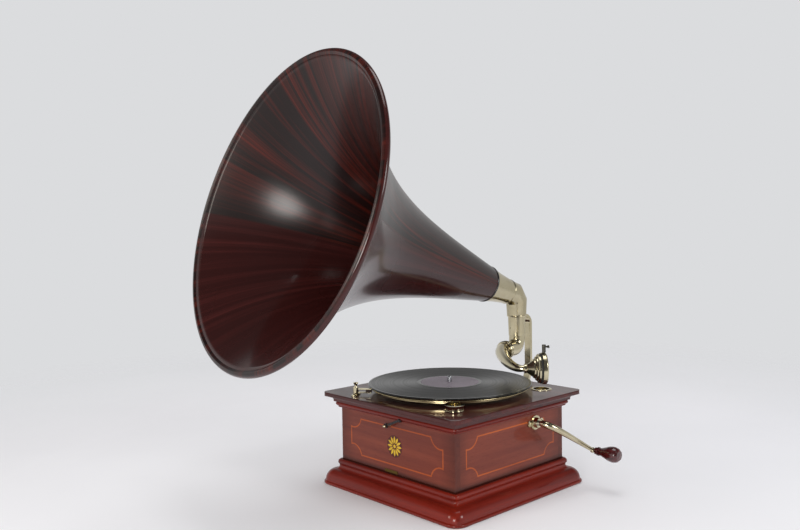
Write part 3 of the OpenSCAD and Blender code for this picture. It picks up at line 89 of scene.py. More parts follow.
# The room that polished pieces mirror: pale below, dim above, and dark towards a doorway.
DOOR_WAY = (0.71, -0.7, 0.0)
ROOM_LIGHT = (0.57, 0.57, 0.59)


def shade(red, green, blue):
    """A display colour, 0 to 255, as linear light."""
    shares = (red / 255, green / 255, blue / 255)
    return tuple(((c + 0.055) / 1.055) ** 2.4 if c > 0.0404 else c / 12.92 for c in shares)


def darker(tone, share):
    return tuple(c * share for c in tone)


# ---------------------------------------------------------------- sizes and colours


def length(name, note, value, low, high):
    return FloatProperty(name=name, description=note, default=value, min=low, max=high, unit="LENGTH")


def count(name, note, value, low, high):
    return IntProperty(name=name, description=note, default=value, min=low, max=high)


def colour(name, note, *shades):
    tone = shade(*shades)
    look = {"size": 3, "min": 0, "max": 1, "subtype": "COLOR"}
    return FloatVectorProperty(name=name, description=note, default=tone, **look)


class GramophoneSizes(bpy.types.PropertyGroup):
    """Sizes of the pieces that are made here."""

    bell_length: length("Bell Length", "Length of the wooden bell along its axis", 0.396, 0.3, 0.5)
    bell_start: length("Bell Start", "From the tonearm's axis to the bell's small end", 0.073, 0.05, 0.1)
    bell_neck: length("Bell Neck", "Outer radius of the bell's small end", 0.0283, 0.02, 0.04)
    bell_cone: length("Bell Cone", "Straight part of the bell's whole spread", 0.077, 0.05, 0.1)
    bell_flare: length("Bell Flare", "Flared part of the bell's whole spread", 0.112, 0.08, 0.14)
    bell_wall: length("Bell Wall", "Thickness of the bell's wood", 0.004, 0.002, 0.006)
    bell_rings: count("Bell Rings", "Rings of faces along the bell", 96, 24, 200)
    bell_segments: count("Bell Segments", "Faces round the bell", 240, 48, 400)
    case_half: length("Case Half", "Half the width of the square case", 0.1195, 0.1, 0.14)
    case_corner: length("Case Corner", "Corner radius of the mouldings at the case", 0.003, 0.001, 0.01)
    corner_growth: FloatProperty(
        name="Corner Growth",
        description="How fast the mouldings' corners grow rounder outwards",
        default=0.6,
        min=0,
        max=1,
    )
    elbow_low: length("Elbow Foot", "Radius of the elbow at the socket", 0.016, 0.014, 0.018)
    elbow_high: length("Elbow Head", "Radius of the elbow at the sleeve", 0.0196, 0.017, 0.02)
    elbow_bend: length("Elbow Bend", "From the corner of its axes to each mitre", 0.0098, 0.008, 0.018)
    elbow_end: length("Elbow End", "From the corner of its axes to the sleeve", 0.0235, 0.02, 0.03)
    rim_bead: length("Rim Bead", "Radius of the bead behind the bell's mouth", 0.00497, 0.004, 0.006)
    end_ring: length("End Ring", "Radius at which the black ring is run", 0.028, 0.026, 0.03)
    platter_radius: length("Platter Radius", "Radius of the turntable's lip", 0.1215, 0.11, 0.13)
    crank_thick: length("Crank Hub", "Radius of the crank's rod at its hub", 0.0054, 0.004, 0.007)
    crank_thin: length("Crank Tip", "Radius of the crank's rod at its tip", 0.0029, 0.002, 0.004)
    crank_knuckle: length("Crank Knuckle", "Radius of the ball round the handle's pin", 0.0042, 0.003, 0.005)
    rosette: length("Rosette", "Diameter of the inlaid rosette", 0.032, 0.02, 0.04)
    rosette_petals: count("Petals", "Petals of the rosette", 12, 6, 24)
    plate_length: length("Plate Length", "Length of the bare brass plate", 0.027, 0.02, 0.04)
    plate_height: length("Plate Height", "Height of the bare brass plate", 0.0044, 0.003, 0.01)
    plate_pin: length("Plate Pin", "Radius of the plate's round-headed pins", 0.0009, 0.0005, 0.002)
    floor: length("Floor", "Radius at which the floor fades into the backdrop", 1.6, 0.8, 3.0)


class GramophoneColours(bpy.types.PropertyGroup):
    """Colours of the finishes and of the stage."""

    panel_light: colour("Panel Light", "Light grain of the cabinet's panels", 128, 60, 42)
    panel_dark: colour("Panel Dark", "Dark grain of the cabinet's panels", 100, 42, 31)
    moulding_light: colour("Moulding Light", "Light grain of the red mouldings", 131, 34, 18)
    moulding_dark: colour("Moulding Dark", "Dark grain of the red mouldings", 88, 17, 10)
    board_light: colour("Board Light", "Light grain of the motor board", 84, 30, 26)
    board_dark: colour("Board Dark", "Dark grain of the motor board", 50, 16, 15)
    line_light: colour("Line Light", "Light grain of the inlaid line", 186, 92, 40)
    line_dark: colour("Line Dark", "Dark grain of the inlaid line", 146, 62, 26)
    petal: colour("Petal", "Yellow wood of the rosette's petals", 226, 186, 52)
    ground: colour("Ground", "Dark wood round the petals", 88, 36, 29)
    raw_wood: colour("Raw Wood", "Unpolished wood inside the cabinet", 176, 132, 92)
    nickel: colour("Nickel", "Warm nickel plate", 206, 196, 166)
    rim_brass: colour("Rim Brass", "Worn plate on the turntable's rim", 206, 190, 150)
    steel: colour("Steel", "Machined steel", 190, 192, 196)
    dull_steel: colour("Dull Steel", "Oiled steel of the needle bar and its screw", 92, 90, 84)
    spring_steel: colour("Spring Steel", "Blued steel of the mainspring and the hook", 52, 48, 50)
    brass: colour("Brass", "Brass of the motor", 214, 176, 96)
    horn_dark: colour("Horn Dark", "Dark veneer of the horn", 24, 8, 7)
    horn_red: colour("Horn Red", "Red streaks in the horn's veneer", 92, 26, 14)
    horn_back: colour("Horn Back", "Veneer on the horn's back", 70, 28, 26)
    record: colour("Record", "Black shellac", 22, 22, 20)
    label: colour("Label", "Bare paper label", 152, 140, 150)
    felt: colour("Felt", "Felt under the record", 78, 24, 26)
    handle: colour("Handle", "Turned handle", 78, 18, 20)
    leather: colour("Leather", "Leather of the brake pad", 56, 36, 26)
    rubber: colour("Rubber", "Rubber gaskets", 34, 33, 32)
    mica: colour("Mica", "Mica diaphragm", 214, 204, 178)
    ebony: colour("Ebony", "Blackened ring on the horn's neck", 22, 18, 17)
    floor: colour("Floor", "Pale cloth floor", 246, 246, 248)
    backdrop: colour("Backdrop", "Pale backdrop", 219, 220, 222)


def sizes():
    return bpy.context.scene.gramophone_sizes


def colours():
    return bpy.context.scene.gramophone_colours


# ---------------------------------------------------------------- finishes


class Mixer:
    """A node tree being built, with short calls for its common nodes."""

    def __init__(self, tree):
        self.tree = tree

    def node(self, kind, inputs, **settings):
        made = self.tree.nodes.new(kind)
        for name, value in settings.items():
            setattr(made, name, value)
        for name, value in inputs.items():
            self.put(made.inputs[name], value)
        return made

    def put(self, socket, value):
        """Links or sets an input; a plain colour gets its alpha."""
        if isinstance(value, bpy.types.NodeSocket):
            self.tree.links.new(value, socket)
        elif socket.type == "RGBA" and len(value) == 3:
            socket.default_value = (*value, 1.0)
        else:
            socket.default_value = value

    def out(self, kind, inputs, **settings):
        return self.node(kind, inputs, **settings).outputs[0]

    def maths(self, operation, a, b=0.0):
        return self.out("ShaderNodeMath", {0: a, 1: b}, operation=operation)

    def plus(self, a, b):
        return self.maths("ADD", a, b)

    def minus(self, a, b):
        return self.maths("SUBTRACT", a, b)

    def times(self, a, b):
        return self.maths("MULTIPLY", a, b)

    def over(self, a, b):
        return self.maths("DIVIDE", a, b)

    def distance(self, x, y):
        return self.maths("SQRT", self.plus(self.times(x, x), self.times(y, y)))

    def split(self, vector):
        return self.node("ShaderNodeSeparateXYZ", {"Vector": vector}).outputs

    def join(self, x, y, z):
        return self.out("ShaderNodeCombineXYZ", {"X": x, "Y": y, "Z": z})

    def fit(self, value, low, high, to_low=0.0, to_high=1.0, curve="LINEAR"):
        """value from low..high to to_low..to_high, held at the ends."""
        spans = {"From Min": low, "From Max": high, "To Min": to_low, "To Max": to_high}
        return self.out("ShaderNodeMapRange", {"Value": value, **spans}, interpolation_type=curve)

    def mix(self, share, a, b):
        """Colour mix."""
        return self.node("ShaderNodeMix", {0: share, 6: a, 7: b}, data_type="RGBA").outputs[2]

    def pick(self, share, a, b):
        """Plain number mix."""
        return self.out("ShaderNodeMix", {0: share, 2: a, 3: b}, data_type="FLOAT")


class Finish(Mixer):
    """A material being mixed: a Principled shader and what feeds it."""

    def __init__(self, name, **sockets):
        self.material = bpy.data.materials.new(name)
        self.material.use_nodes = True
        super().__init__(self.material.node_tree)
        self.shader = self.tree.nodes["Principled BSDF"]
        for socket, value in sockets.items():
            self.shader.inputs[socket.replace("_", " ")].default_value = value

    def feed(self, socket, value):
        self.tree.links.new(value, self.shader.inputs[socket])

    def surface(self, at=(0, 0, 0), turn=(0, 0, 0)):
        """Object coordinates as seen from a frame of its own, which stands at a place and is turned."""
        coords = self.node("ShaderNodeTexCoord", {}).outputs["Object"]
        stand = {"Vector": coords, "Location": at, "Rotation": turn}
        return self.out("ShaderNodeMapping", stand, vector_type="TEXTURE")

    def stretch(self, vector, scale):
        return self.out("ShaderNodeMapping", {"Vector": vector, "Scale": scale})

    def noise(self, vector, scale=1.0, detail=3.0, roughness=0.5, distortion=0.0):
        look = {"Scale": scale, "Detail": detail, "Roughness": roughness, "Distortion": distortion}
        return self.out("ShaderNodeTexNoise", {"Vector": vector, **look})

    def bump(self, height, strength, distance):
        relief = {"Height": height, "Strength": strength, "Distance": distance}
        self.feed("Normal", self.out("ShaderNodeBump", relief))


def lie_of_grain(f, grain):
    """Surface coordinates with the grain along the first one. A mitred frame changes it at its corners."""
    x, y, z = f.split(f.surface())
    if grain == "x":
        return f.join(x, y, z)
    if grain == "y":
        return f.join(y, x, z)
    if grain == "z":
        return f.join(z, x, y)
    side = f.maths("GREATER_THAN", f.maths("ABSOLUTE", x), f.maths("ABSOLUTE", y))
    return f.join(f.pick(side, x, y), f.pick(side, y, x), z)


def polished_wood(name, light, dark, grain, coat=0.35, coat_roughness=0.07, foot=None, half=0.0):
    """Straight-grained wood under polish: grain bands, broad figure, fine pores and smudged gloss.

    Where a foot height is given, the wood just above it is darkened as painted shade where the panel meets
    the moulding, partly a real stain, and the wood grows darker towards the upright edges."""
    f = Finish(name, Specular_IOR_Level=0.12, Coat_Weight=coat, Coat_Roughness=coat_roughness, Coat_IOR=1.5)
    lie = lie_of_grain(f, grain)
    bands = f.noise(f.stretch(lie, (3, 115, 115)), detail=4, roughness=0.6, distortion=0.5)
    broad = f.noise(f.stretch(lie, (2.2, 17, 17)), detail=2, distortion=1.4)
    pores = f.noise(f.stretch(lie, (85, 1500, 1500)), detail=2, roughness=0.4)
    tone = f.plus(f.times(bands, 0.5), f.times(broad, 0.5))
    base = f.mix(f.fit(tone, 0.34, 0.66), dark, light)
    open_pores = f.fit(pores, 0.56, 0.72)
    worked = f.mix(f.times(open_pores, 0.35), base, darker(dark, 0.35))
    if foot is not None:
        # Painted shade: a dark band just above the foot, where the panel meets the moulding, partly a real
        # stain. Below, the wood also grows darker towards the upright edges.
        shade_band, margin = 0.008, 0.03
        height = f.split(f.surface())[2]
        worked = f.mix(f.fit(height, foot, foot + shade_band, 0.85, 0.0), worked, darker(dark, 0.12))
        along = f.maths("ABSOLUTE", f.split(lie)[0])
        worked = f.mix(f.fit(along, half - margin, half, 0.0, 0.55), worked, darker(dark, 0.3))
    f.feed("Base Color", worked)
    f.feed("Roughness", f.fit(f.noise(f.surface(), 14, detail=4), 0.35, 0.7, 0.3, 0.45))
    f.bump(f.minus(bands, f.times(open_pores, 0.8)), 0.08, 0.0003)
    return f.material


def raw_wood(name, tone, grain):
    """Sawn, unpolished wood."""
    f = Finish(name, Specular_IOR_Level=0.3)
    lie = lie_of_grain(f, grain)
    bands = f.noise(f.stretch(lie, (5, 150, 150)), detail=5, roughness=0.65)
    saw = f.noise(f.stretch(lie, (420, 30, 30)), detail=2)
    dark = darker(tone, 0.62)
    f.feed("Base Color", f.mix(f.fit(bands, 0.35, 0.65), dark, tone))
    f.feed("Roughness", f.fit(saw, 0.3, 0.7, 0.6, 0.85))
    f.bump(f.plus(bands, f.times(saw, 0.5)), 0.35, 0.0006)
    return f.material


def plate(name, tone, low=0.10, high=0.26, tarnish=0.35):
    """Polished metal plate: clouded tarnish, faint wiping scratches and uneven gloss."""
    f = Finish(name, Metallic=1.0)
    place = f.surface()
    cloud = f.noise(place, 38, detail=5, roughness=0.6, distortion=0.3)
    fine = f.noise(f.stretch(place, (160, 160, 2600)), detail=2)
    specks = f.noise(place, 900, detail=2)
    dull = (tone[0] * 0.74, tone[1] * 0.68, tone[2] * 0.54)
    tint = f.times(f.fit(cloud, 0.46, 0.74), tarnish)
    stained = f.mix(tint, tone, dull)
    spotted = f.mix(f.times(f.fit(specks, 0.66, 0.8), 0.3), stained, darker(tone, 0.4))
    f.feed("Base Color", spotted)
    rough = f.plus(f.times(cloud, 0.7), f.times(fine, 0.3))
    f.feed("Roughness", f.fit(rough, 0.35, 0.68, low, high))
    f.bump(fine, 0.05, 0.0001)
    return f.material


def turned_metal(name, tone, at, turn=(0, 0, 0), pitch=0.00035, low=0.2, high=0.34):
    """Metal turned in a lathe: rings round an axis through a place, with a little oil staining."""
    f = Finish(name, Metallic=1.0)
    x, y, z = f.split(f.surface(at, turn))
    radius = f.distance(x, y)
    line = f.join(f.times(radius, 1 / pitch), f.times(z, 1 / pitch), 0.0)
    rings = f.noise(line, 1.0, detail=2)
    stain = f.noise(f.surface(), 55, detail=4)
    f.feed("Base Color", f.mix(f.fit(stain, 0.48, 0.75, 0, 0.5), tone, darker(tone, 0.55)))
    f.feed("Roughness", f.fit(rings, 0.35, 0.65, low, high))
    f.bump(rings, 0.12, 0.00012)
    return f.material


def blued_steel(name, tone):
    """Blued and oiled steel with rubbed patches."""
    f = Finish(name, Metallic=0.9, Coat_Weight=0.2, Coat_Roughness=0.2)
    rub = f.noise(f.surface(), 120, detail=4, roughness=0.6)
    bare = tuple(min(1.0, c * 3 + 0.03) for c in tone)
    f.feed("Base Color", f.mix(f.fit(rub, 0.5, 0.7, 0, 0.6), tone, bare))
    f.feed("Roughness", f.fit(rub, 0.35, 0.7, 0.22, 0.42))
    f.bump(rub, 0.08, 0.0002)
    return f.material


def horn_veneer(name, dark, streak, gloss_low, gloss_high, coat_roughness, coat=0.62):
    """Polished veneer whose grain runs from the horn's neck to its mouth, with red streaks."""
    f = Finish(name, Specular_IOR_Level=0.12, Coat_Weight=coat, Coat_Roughness=coat_roughness, Coat_IOR=1.5)
    x, y, z = f.split(f.surface(HORN_FOOT, HORN_EULER))
    radius = f.distance(x, y)
    east, north = f.over(x, radius), f.over(y, radius)

    def rays(fine, along):
        return f.join(f.times(east, fine), f.times(north, fine), f.times(z, along))

    sheets = f.noise(rays(1.7, 2.0), detail=2, distortion=0.4)
    bands = f.noise(rays(13.0, 2.6), detail=5, roughness=0.62, distortion=0.5)
    hairs = f.noise(rays(75.0, 9.0), detail=3, roughness=0.6)
    red = f.times(f.fit(bands, 0.44, 0.68), f.fit(sheets, 0.36, 0.62, 0.12, 1.0))
    fibre = f.times(f.fit(hairs, 0.42, 0.6, 0.45, 1.0), red)
    f.feed("Base Color", f.mix(fibre, dark, streak))
    f.feed("Roughness", f.fit(f.noise(f.surface(), 9, detail=3), 0.35, 0.7, gloss_low, gloss_high))
    f.bump(f.plus(f.times(hairs, 0.5), bands), 0.10, 0.0005)
    return f.material


def turned_wood(name, light, dark, at, turn):
    """Turned and polished wood: grain along the axis, faint tool rings round it."""
    f = Finish(name, Coat_Weight=0.8, Coat_Roughness=0.05)
    x, y, z = f.split(f.surface(at, turn))
    grain = f.noise(f.join(f.times(x, 320), f.times(y, 320), f.times(z, 14)), detail=4)
    rings = f.noise(f.join(f.times(z, 1400), 0.0, 0.0), detail=1)
    f.feed("Base Color", f.mix(f.fit(grain, 0.38, 0.64), dark, light))
    f.feed("Roughness", f.fit(grain, 0.3, 0.7, 0.24, 0.36))
    f.bump(f.plus(grain, f.times(rings, 0.4)), 0.12, 0.0003)
    return f.material


def grooved_shellac(name, tone, at):
    """Black shellac: groove rings that spread the light along the radius, louder bands and faint dust."""
    f = Finish(name, Specular_IOR_Level=0.36, Anisotropic=0.85)
    x, y = f.split(f.surface(at))[:2]
    radius = f.distance(x, y)
    f.feed("Tangent", f.join(f.over(x, radius), f.over(y, radius), 0.0))
    loud = f.noise(f.join(f.times(radius, 260), 0.0, 0.0), detail=3)
    begins, ends = (0.0488, 0.0492), (0.1205, 0.1209)
    cut = f.times(f.fit(radius, *begins), f.fit(radius, *ends, 1.0, 0.0))
    dust = f.noise(f.surface(), 260, detail=4)
    f.feed("Base Color", f.mix(f.fit(dust, 0.5, 0.8, 0.0, 0.2), tone, shade(84, 84, 80)))
    f.feed("Roughness", f.pick(cut, 0.14, f.fit(loud, 0.35, 0.65, 0.27, 0.37)))
    f.bump(f.times(f.fit(loud, 0.35, 0.65), cut), 0.1, 0.00008)
    return f.material


def label_paper(name, tone, at):
    """Bare paper label with fibres and a pressed ring near its edge."""
    f = Finish(name, Specular_IOR_Level=0.35)
    x, y = f.split(f.surface(at))[:2]
    radius = f.distance(x, y)
    fibre = f.noise(f.surface(), 700, detail=4)
    fade = f.noise(f.surface(), 40, detail=3)
    ring_radius, ring_half = 0.0372, 0.0006
    ring = f.maths("LESS_THAN", f.maths("ABSOLUTE", f.minus(radius, ring_radius)), ring_half)
    worn = f.mix(f.fit(fade, 0.4, 0.7), darker(tone, 0.82), tone)
    f.feed("Base Color", f.mix(f.times(ring, 0.25), worn, darker(tone, 0.5)))
    f.feed("Roughness", f.fit(fibre, 0.3, 0.7, 0.38, 0.55))
    f.bump(f.minus(fibre, ring), 0.12, 0.0002)
    return f.material


def nap(name, tone):
    """Felt: short tangled fibres with a soft sheen."""
    f = Finish(name, Roughness=0.95, Sheen_Weight=0.5, Specular_IOR_Level=0.1)
    fibre = f.noise(f.surface(), 1500, detail=5, roughness=0.7, distortion=0.8)
    patch = f.noise(f.surface(), 60, detail=3)
    base = f.mix(f.fit(fibre, 0.35, 0.65), darker(tone, 0.5), tone)
    f.feed("Base Color", f.mix(f.fit(patch, 0.4, 0.8, 0, 0.3), base, tuple(c * 0.7 + 0.02 for c in tone)))
    f.bump(fibre, 0.6, 0.0004)
    return f.material


def grained_leather(name, tone):
    """Brown leather with a pebbled grain."""
    f = Finish(name, Specular_IOR_Level=0.4)
    cells = f.node("ShaderNodeTexVoronoi", {"Vector": f.surface(), "Scale": 1100.0}).outputs["Distance"]
    tan = f.noise(f.surface(), 180, detail=3)
    f.feed("Base Color", f.mix(f.fit(tan, 0.35, 0.65), darker(tone, 0.55), tone))
    f.feed("Roughness", f.fit(cells, 0.0, 0.7, 0.5, 0.75))
    f.bump(cells, 0.4, 0.0003)
    return f.material


def moulded_rubber(name, tone):
    """Black rubber with bloom."""
    f = Finish(name, Specular_IOR_Level=0.4)
    bloom = f.noise(f.surface(), 300, detail=4)
    f.feed("Base Color", f.mix(f.fit(bloom, 0.5, 0.75), tone, tuple(c * 1.8 + 0.01 for c in tone)))
    f.feed("Roughness", f.fit(bloom, 0.35, 0.7, 0.5, 0.75))
    f.bump(bloom, 0.15, 0.0002)
    return f.material


def mica_sheet(name, tone):
    """Thin mica: pale, glassy, with cloudy flakes."""
    f = Finish(name, IOR=1.56, Transmission_Weight=0.35, Coat_Weight=0.6, Coat_Roughness=0.05)
    flakes = f.noise(f.stretch(f.surface(), (60, 60, 60)), detail=6, roughness=0.7, distortion=2.0)
    f.feed("Base Color", f.mix(f.fit(flakes, 0.4, 0.7), darker(tone, 0.66), tone))
    f.feed("Roughness", f.fit(flakes, 0.35, 0.7, 0.12, 0.3))
    f.bump(flakes, 0.08, 0.0003)
    return f.material


# ---------------------------------------------------------------- dressing parts


def welded(work, limit, outwards=False):
    """Merges doubles and shades smooth where faces meet at less than the limit, in degrees."""
    bmesh.ops.remove_doubles(work, verts=work.verts, dist=2e-6)
    bmesh.ops.dissolve_degenerate(work, edges=work.edges, dist=1e-7)
    if outwards:
        bmesh.ops.recalc_face_normals(work, faces=work.faces)
    for face in work.faces:
        face.smooth = True
    for edge in work.edges:
        edge.smooth = len(edge.link_faces) == 2 and edge.calc_face_angle(0.0) < math.radians(limit)
    return work


def shown(name, data):
    """A new object in the scene."""
    made = bpy.data.objects.new(name, data)
    bpy.context.scene.collection.objects.link(made)
    return made


def as_object(name, work):
    """A new object with the mesh that was worked on."""
    mesh = bpy.data.meshes.new(name)
    work.to_mesh(mesh)
    work.free()
    return shown(name, mesh)


def clean_copy(node, limit=35.0):
    """A merged, smooth-shaded copy of a part."""
    work = bmesh.new()
    work.from_mesh(frame["nodes"][node].data)
    piece = as_object(node + "_finished", welded(work, limit))
    piece.modifiers.new("weigh", "WEIGHTED_NORMAL").keep_sharp = True
    settle(piece)
    return piece


def settle(piece):
    """Turns what the modifiers make into the piece's plain mesh, and removes them."""
    bpy.context.view_layer.update()
    seen = piece.evaluated_get(bpy.context.evaluated_depsgraph_get())
    mesh = bpy.data.meshes.new_from_object(seen)
    piece.modifiers.clear()
    piece.data = mesh


def seat(piece, finish, *nodes):
    """Gives a new piece its finish and body, and puts it in the place of the parts that it stands for."""
    piece.data.materials.clear()
    for material in finish if isinstance(finish, (list, tuple)) else [finish]:
        piece.data.materials.append(material)
    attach(piece, BODY_OF[nodes[0]])
    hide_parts(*nodes)


def dress(finish, *nodes, limit=35.0):
    """Puts smooth-shaded copies with this finish in the place of the named parts."""
    for node in nodes:
        seat(clean_copy(node, limit), finish, node)


class NodeTree(Mixer):
    """A Geometry Nodes tree being built, with named inputs and one Geometry output."""

    def __init__(self, name, inputs):
        super().__init__(bpy.data.node_groups.new(name, "GeometryNodeTree"))
        self.tree.interface.new_socket("Geometry", in_out="INPUT", socket_type="NodeSocketGeometry")
        self.tree.interface.new_socket("Geometry", in_out="OUTPUT", socket_type="NodeSocketGeometry")
        self.values = {}
        for label, (kind, value) in inputs.items():
            kind = "NodeSocket" + kind
            socket = self.tree.interface.new_socket(label, in_out="INPUT", socket_type=kind)
            self.values[socket.identifier] = value
        self.given = self.tree.nodes.new("NodeGroupInput")

    def __getitem__(self, label):
        return self.given.outputs[label]

    def position(self):
        return self.split(self.out("GeometryNodeInputPosition", {}))

    def pick(self, choice, no, yes):
        choices = {"Switch": choice, "False": no, "True": yes}
        return self.out("GeometryNodeSwitch", choices, input_type="FLOAT")

    def drawing(self, label):
        """The curve of an object input."""
        return self.node("GeometryNodeObjectInfo", {"Object": self[label]}).outputs["Geometry"]

    def place(self, geometry, **moves):
        """Moves, turns or scales geometry."""
        return self.out("GeometryNodeTransform", {"Geometry": geometry, **moves})

    def reshape(self, geometry, position):
        return self.out("GeometryNodeSetPosition", {"Geometry": geometry, "Position": position})

    def weld(self, geometry, distance):
        return self.out("GeometryNodeMergeByDistance", {"Geometry": geometry, "Distance": distance})

    def smooth(self, geometry):
        return self.out("GeometryNodeSetShadeSmooth", {"Geometry": geometry, "Shade Smooth": True})

    def together(self, *parts):
        whole = self.node("GeometryNodeJoinGeometry", {})
        for part in parts:
            self.tree.links.new(part, whole.inputs[0])
        return whole.outputs[0]

    def finish(self, geometry, material):
        """Realize Instances, Set Material and the output."""
        plain = self.out("GeometryNodeRealizeInstances", {"Geometry": geometry})
        return self.out("GeometryNodeSetMaterial", {"Geometry": plain, "Material": material})

    def grow(self, name, geometry):
        """Runs the tree on an empty mesh and returns a plain object with the result."""
        end = self.tree.nodes.new("NodeGroupOutput")
        self.tree.links.new(geometry, end.inputs["Geometry"])
        piece = shown(name, bpy.data.meshes.new(name))
        modifier = piece.modifiers.new(name, "NODES")
        modifier.node_group = self.tree
        for identifier, value in self.values.items():
            modifier[identifier] = value
        settle(piece)
        return piece


def arc(centre, radius, start, end, steps=12):
    """Points of an arc in millimetres, from one angle to the other in degrees; radius may be a pair."""
    wide, tall = radius if isinstance(radius, tuple) else (radius, radius)
    turns = [math.radians(start + (end - start) * i / steps) for i in range(steps + 1)]
    return [(centre[0] + wide * math.cos(a), centre[1] + tall * math.sin(a)) for a in turns]


def drawn(name, points, closed):
    """A curve object through points given in millimetres."""
    curve = bpy.data.curves.new(name, "CURVE")
    curve.dimensions = "3D"
    spline = curve.splines.new("POLY")
    spline.points.add(len(points) - 1)
    for place, point in zip(spline.points, points):
        across, up, along = (*point, 0.0)[:3]
        place.co = (across / 1000, up / 1000, along / 1000, 1.0)
    spline.use_cyclic_u = closed
    return shown(name, curve)


def close_up(piece, limit=32.0):
    """Welds a piece's seams, turns its faces outwards and shades it smooth between its sharp edges."""
    work = bmesh.new()
    work.from_mesh(piece.data)
    welded(work, limit, True).to_mesh(piece.data)
    work.free()
    return piece


def run_round(name, outline, place, material, radius, turn=(0.0, 0.0, 0.0)):
    """Runs a closed outline in millimetres, drawn outwards and upwards, round a circle."""
    shape = drawn(name + "_outline", [(out, -up) for out, up in outline], True)
    t = NodeTree(
        name,
        {
            "Outline": ("Object", shape),
            "Circle Radius": ("Float", radius),
            "Circle Steps": ("Int", 240),
            "Place": ("Vector", place),
            "Turn": ("Vector", turn),
            "Finish": ("Material", material),
        },
    )
    circle = {"Resolution": t["Circle Steps"], "Radius": t["Circle Radius"]}
    path = t.out("GeometryNodeCurvePrimitiveCircle", circle)
    level = t.out("GeometryNodeSetCurveNormal", {"Curve": path}, mode="Z_UP")
    swept = t.out("GeometryNodeCurveToMesh", {"Curve": level, "Profile Curve": t.drawing("Outline")})
    placed = t.place(swept, Translation=t["Place"], Rotation=t["Turn"])
    piece = t.grow(name, t.finish(placed, t["Finish"]))
    bpy.data.objects.remove(shape)
    return close_up(piece)


def lofted(name, rings, closed):
    """A piece through rings of points in metres: closed from the last ring to the first, or capped."""
    work = bmesh.new()
    loops = [[work.verts.new(point) for point in ring] for ring in rings]
    for first, second in zip(loops, loops[1:] + (loops[:1] if closed else [])):
        for i in range(len(first)):
            work.faces.new((first[i - 1], first[i], second[i], second[i - 1]))
    if not closed:
        work.faces.new(loops[0])
        work.faces.new(loops[-1])
    return close_up(as_object(name, work))


def moulded_square(name, outline, size, floor, steps=16):
    """Runs a closed outline in millimetres, drawn outwards and upwards, round the case.

    The corners grow rounder outwards, as in the photographed mouldings."""
    rings = []
    for out, up in outline:
        radius = size.case_corner + size.corner_growth * out / 1000
        reach = size.case_half + out / 1000 - radius
        ring = []
        for quarter, (east, north) in enumerate(((1, 1), (-1, 1), (-1, -1), (1, -1))):
            for step in range(steps + 1):
                turn = QUARTER * (quarter + step / steps)
                across = east * reach + radius * math.cos(turn)
                along = north * reach + radius * math.sin(turn)
                ring.append((across, along, floor + up / 1000))
        rings.append(ring)
    return lofted(name, rings, True)


def mitred_elbow(name, low, high, size, steps=96):
    """A tube in three straight pieces with two mitred seams, from the socket's axis to the horn's axis."""
    corner, up = Vector(HORN_FOOT), Vector((0.0, 0.0, 1.0))
    stops = [low, corner - up * size.elbow_bend, corner + HORN_WAY * size.elbow_bend, high]
    growth = size.elbow_high - size.elbow_low
    radii = [size.elbow_low + growth * share for share in (0, 1 / 3, 7 / 9, 1)]
    ways = [(b - a).normalized() for a, b in zip(stops, stops[1:])]
    side = up.cross(HORN_WAY).normalized()
    rings = []
    for i, (stop, radius) in enumerate(zip(stops, radii)):
        way = ways[max(i - 1, 0)]
        seam = (way + ways[min(i, 2)]).normalized()
        rim = way.cross(side)
        ring = []
        for step in range(steps):
            turn = math.tau * step / steps
            point = side * radius * math.cos(turn) + rim * radius * math.sin(turn)
            ring.append(stop + point - way * (point.dot(seam) / way.dot(seam)))
        rings.append(ring)
    return lofted(name, rings, False)


def bezier(start, leaving, arriving, end, steps=40):
    """Points in millimetres of a smooth curve from its start to its end, drawn by two other points."""
    made = []
    for i in range(steps + 1):
        t, u = i / steps, 1 - i / steps
        point = u**3 * start + 3 * u * u * t * leaving + 3 * u * t * t * arriving + t**3 * end
        made.append(tuple(point * 1000))
    return made


def bent_rod(name, points, size, material):
    """A round rod that tapers along a smooth curve and ends in a ball."""
    spine = drawn(name + "_spine", points, False)
    t = NodeTree(
        name,
        {
            "Spine": ("Object", spine),
            "First Radius": ("Float", size.crank_thick),
            "Last Radius": ("Float", size.crank_thin),
            "Ball Radius": ("Float", size.crank_knuckle),
            "Ball Place": ("Vector", tuple(v / 1000 for v in points[-1])),
            "Sides": ("Int", 32),
            "Metal": ("Material", material),
        },
    )
    along = t.node("GeometryNodeSplineParameter", {}).outputs["Factor"]
    slim = t.plus(t["First Radius"], t.times(along, t.minus(t["Last Radius"], t["First Radius"])))
    ring = t.out("GeometryNodeCurvePrimitiveCircle", {"Resolution": t["Sides"], "Radius": 1.0})
    run = {"Curve": t.drawing("Spine"), "Profile Curve": ring, "Scale": slim, "Fill Caps": True}
    swept = t.out("GeometryNodeCurveToMesh", run)
    ball = t.out("GeometryNodeMeshUVSphere", {"Segments": 32, "Rings": 20, "Radius": t["Ball Radius"]})
    whole = t.together(swept, t.place(ball, Translation=t["Ball Place"]))
    piece = t.grow(name, t.finish(whole, t["Metal"]))
    bpy.data.objects.remove(spine)
    return close_up(piece, 50)


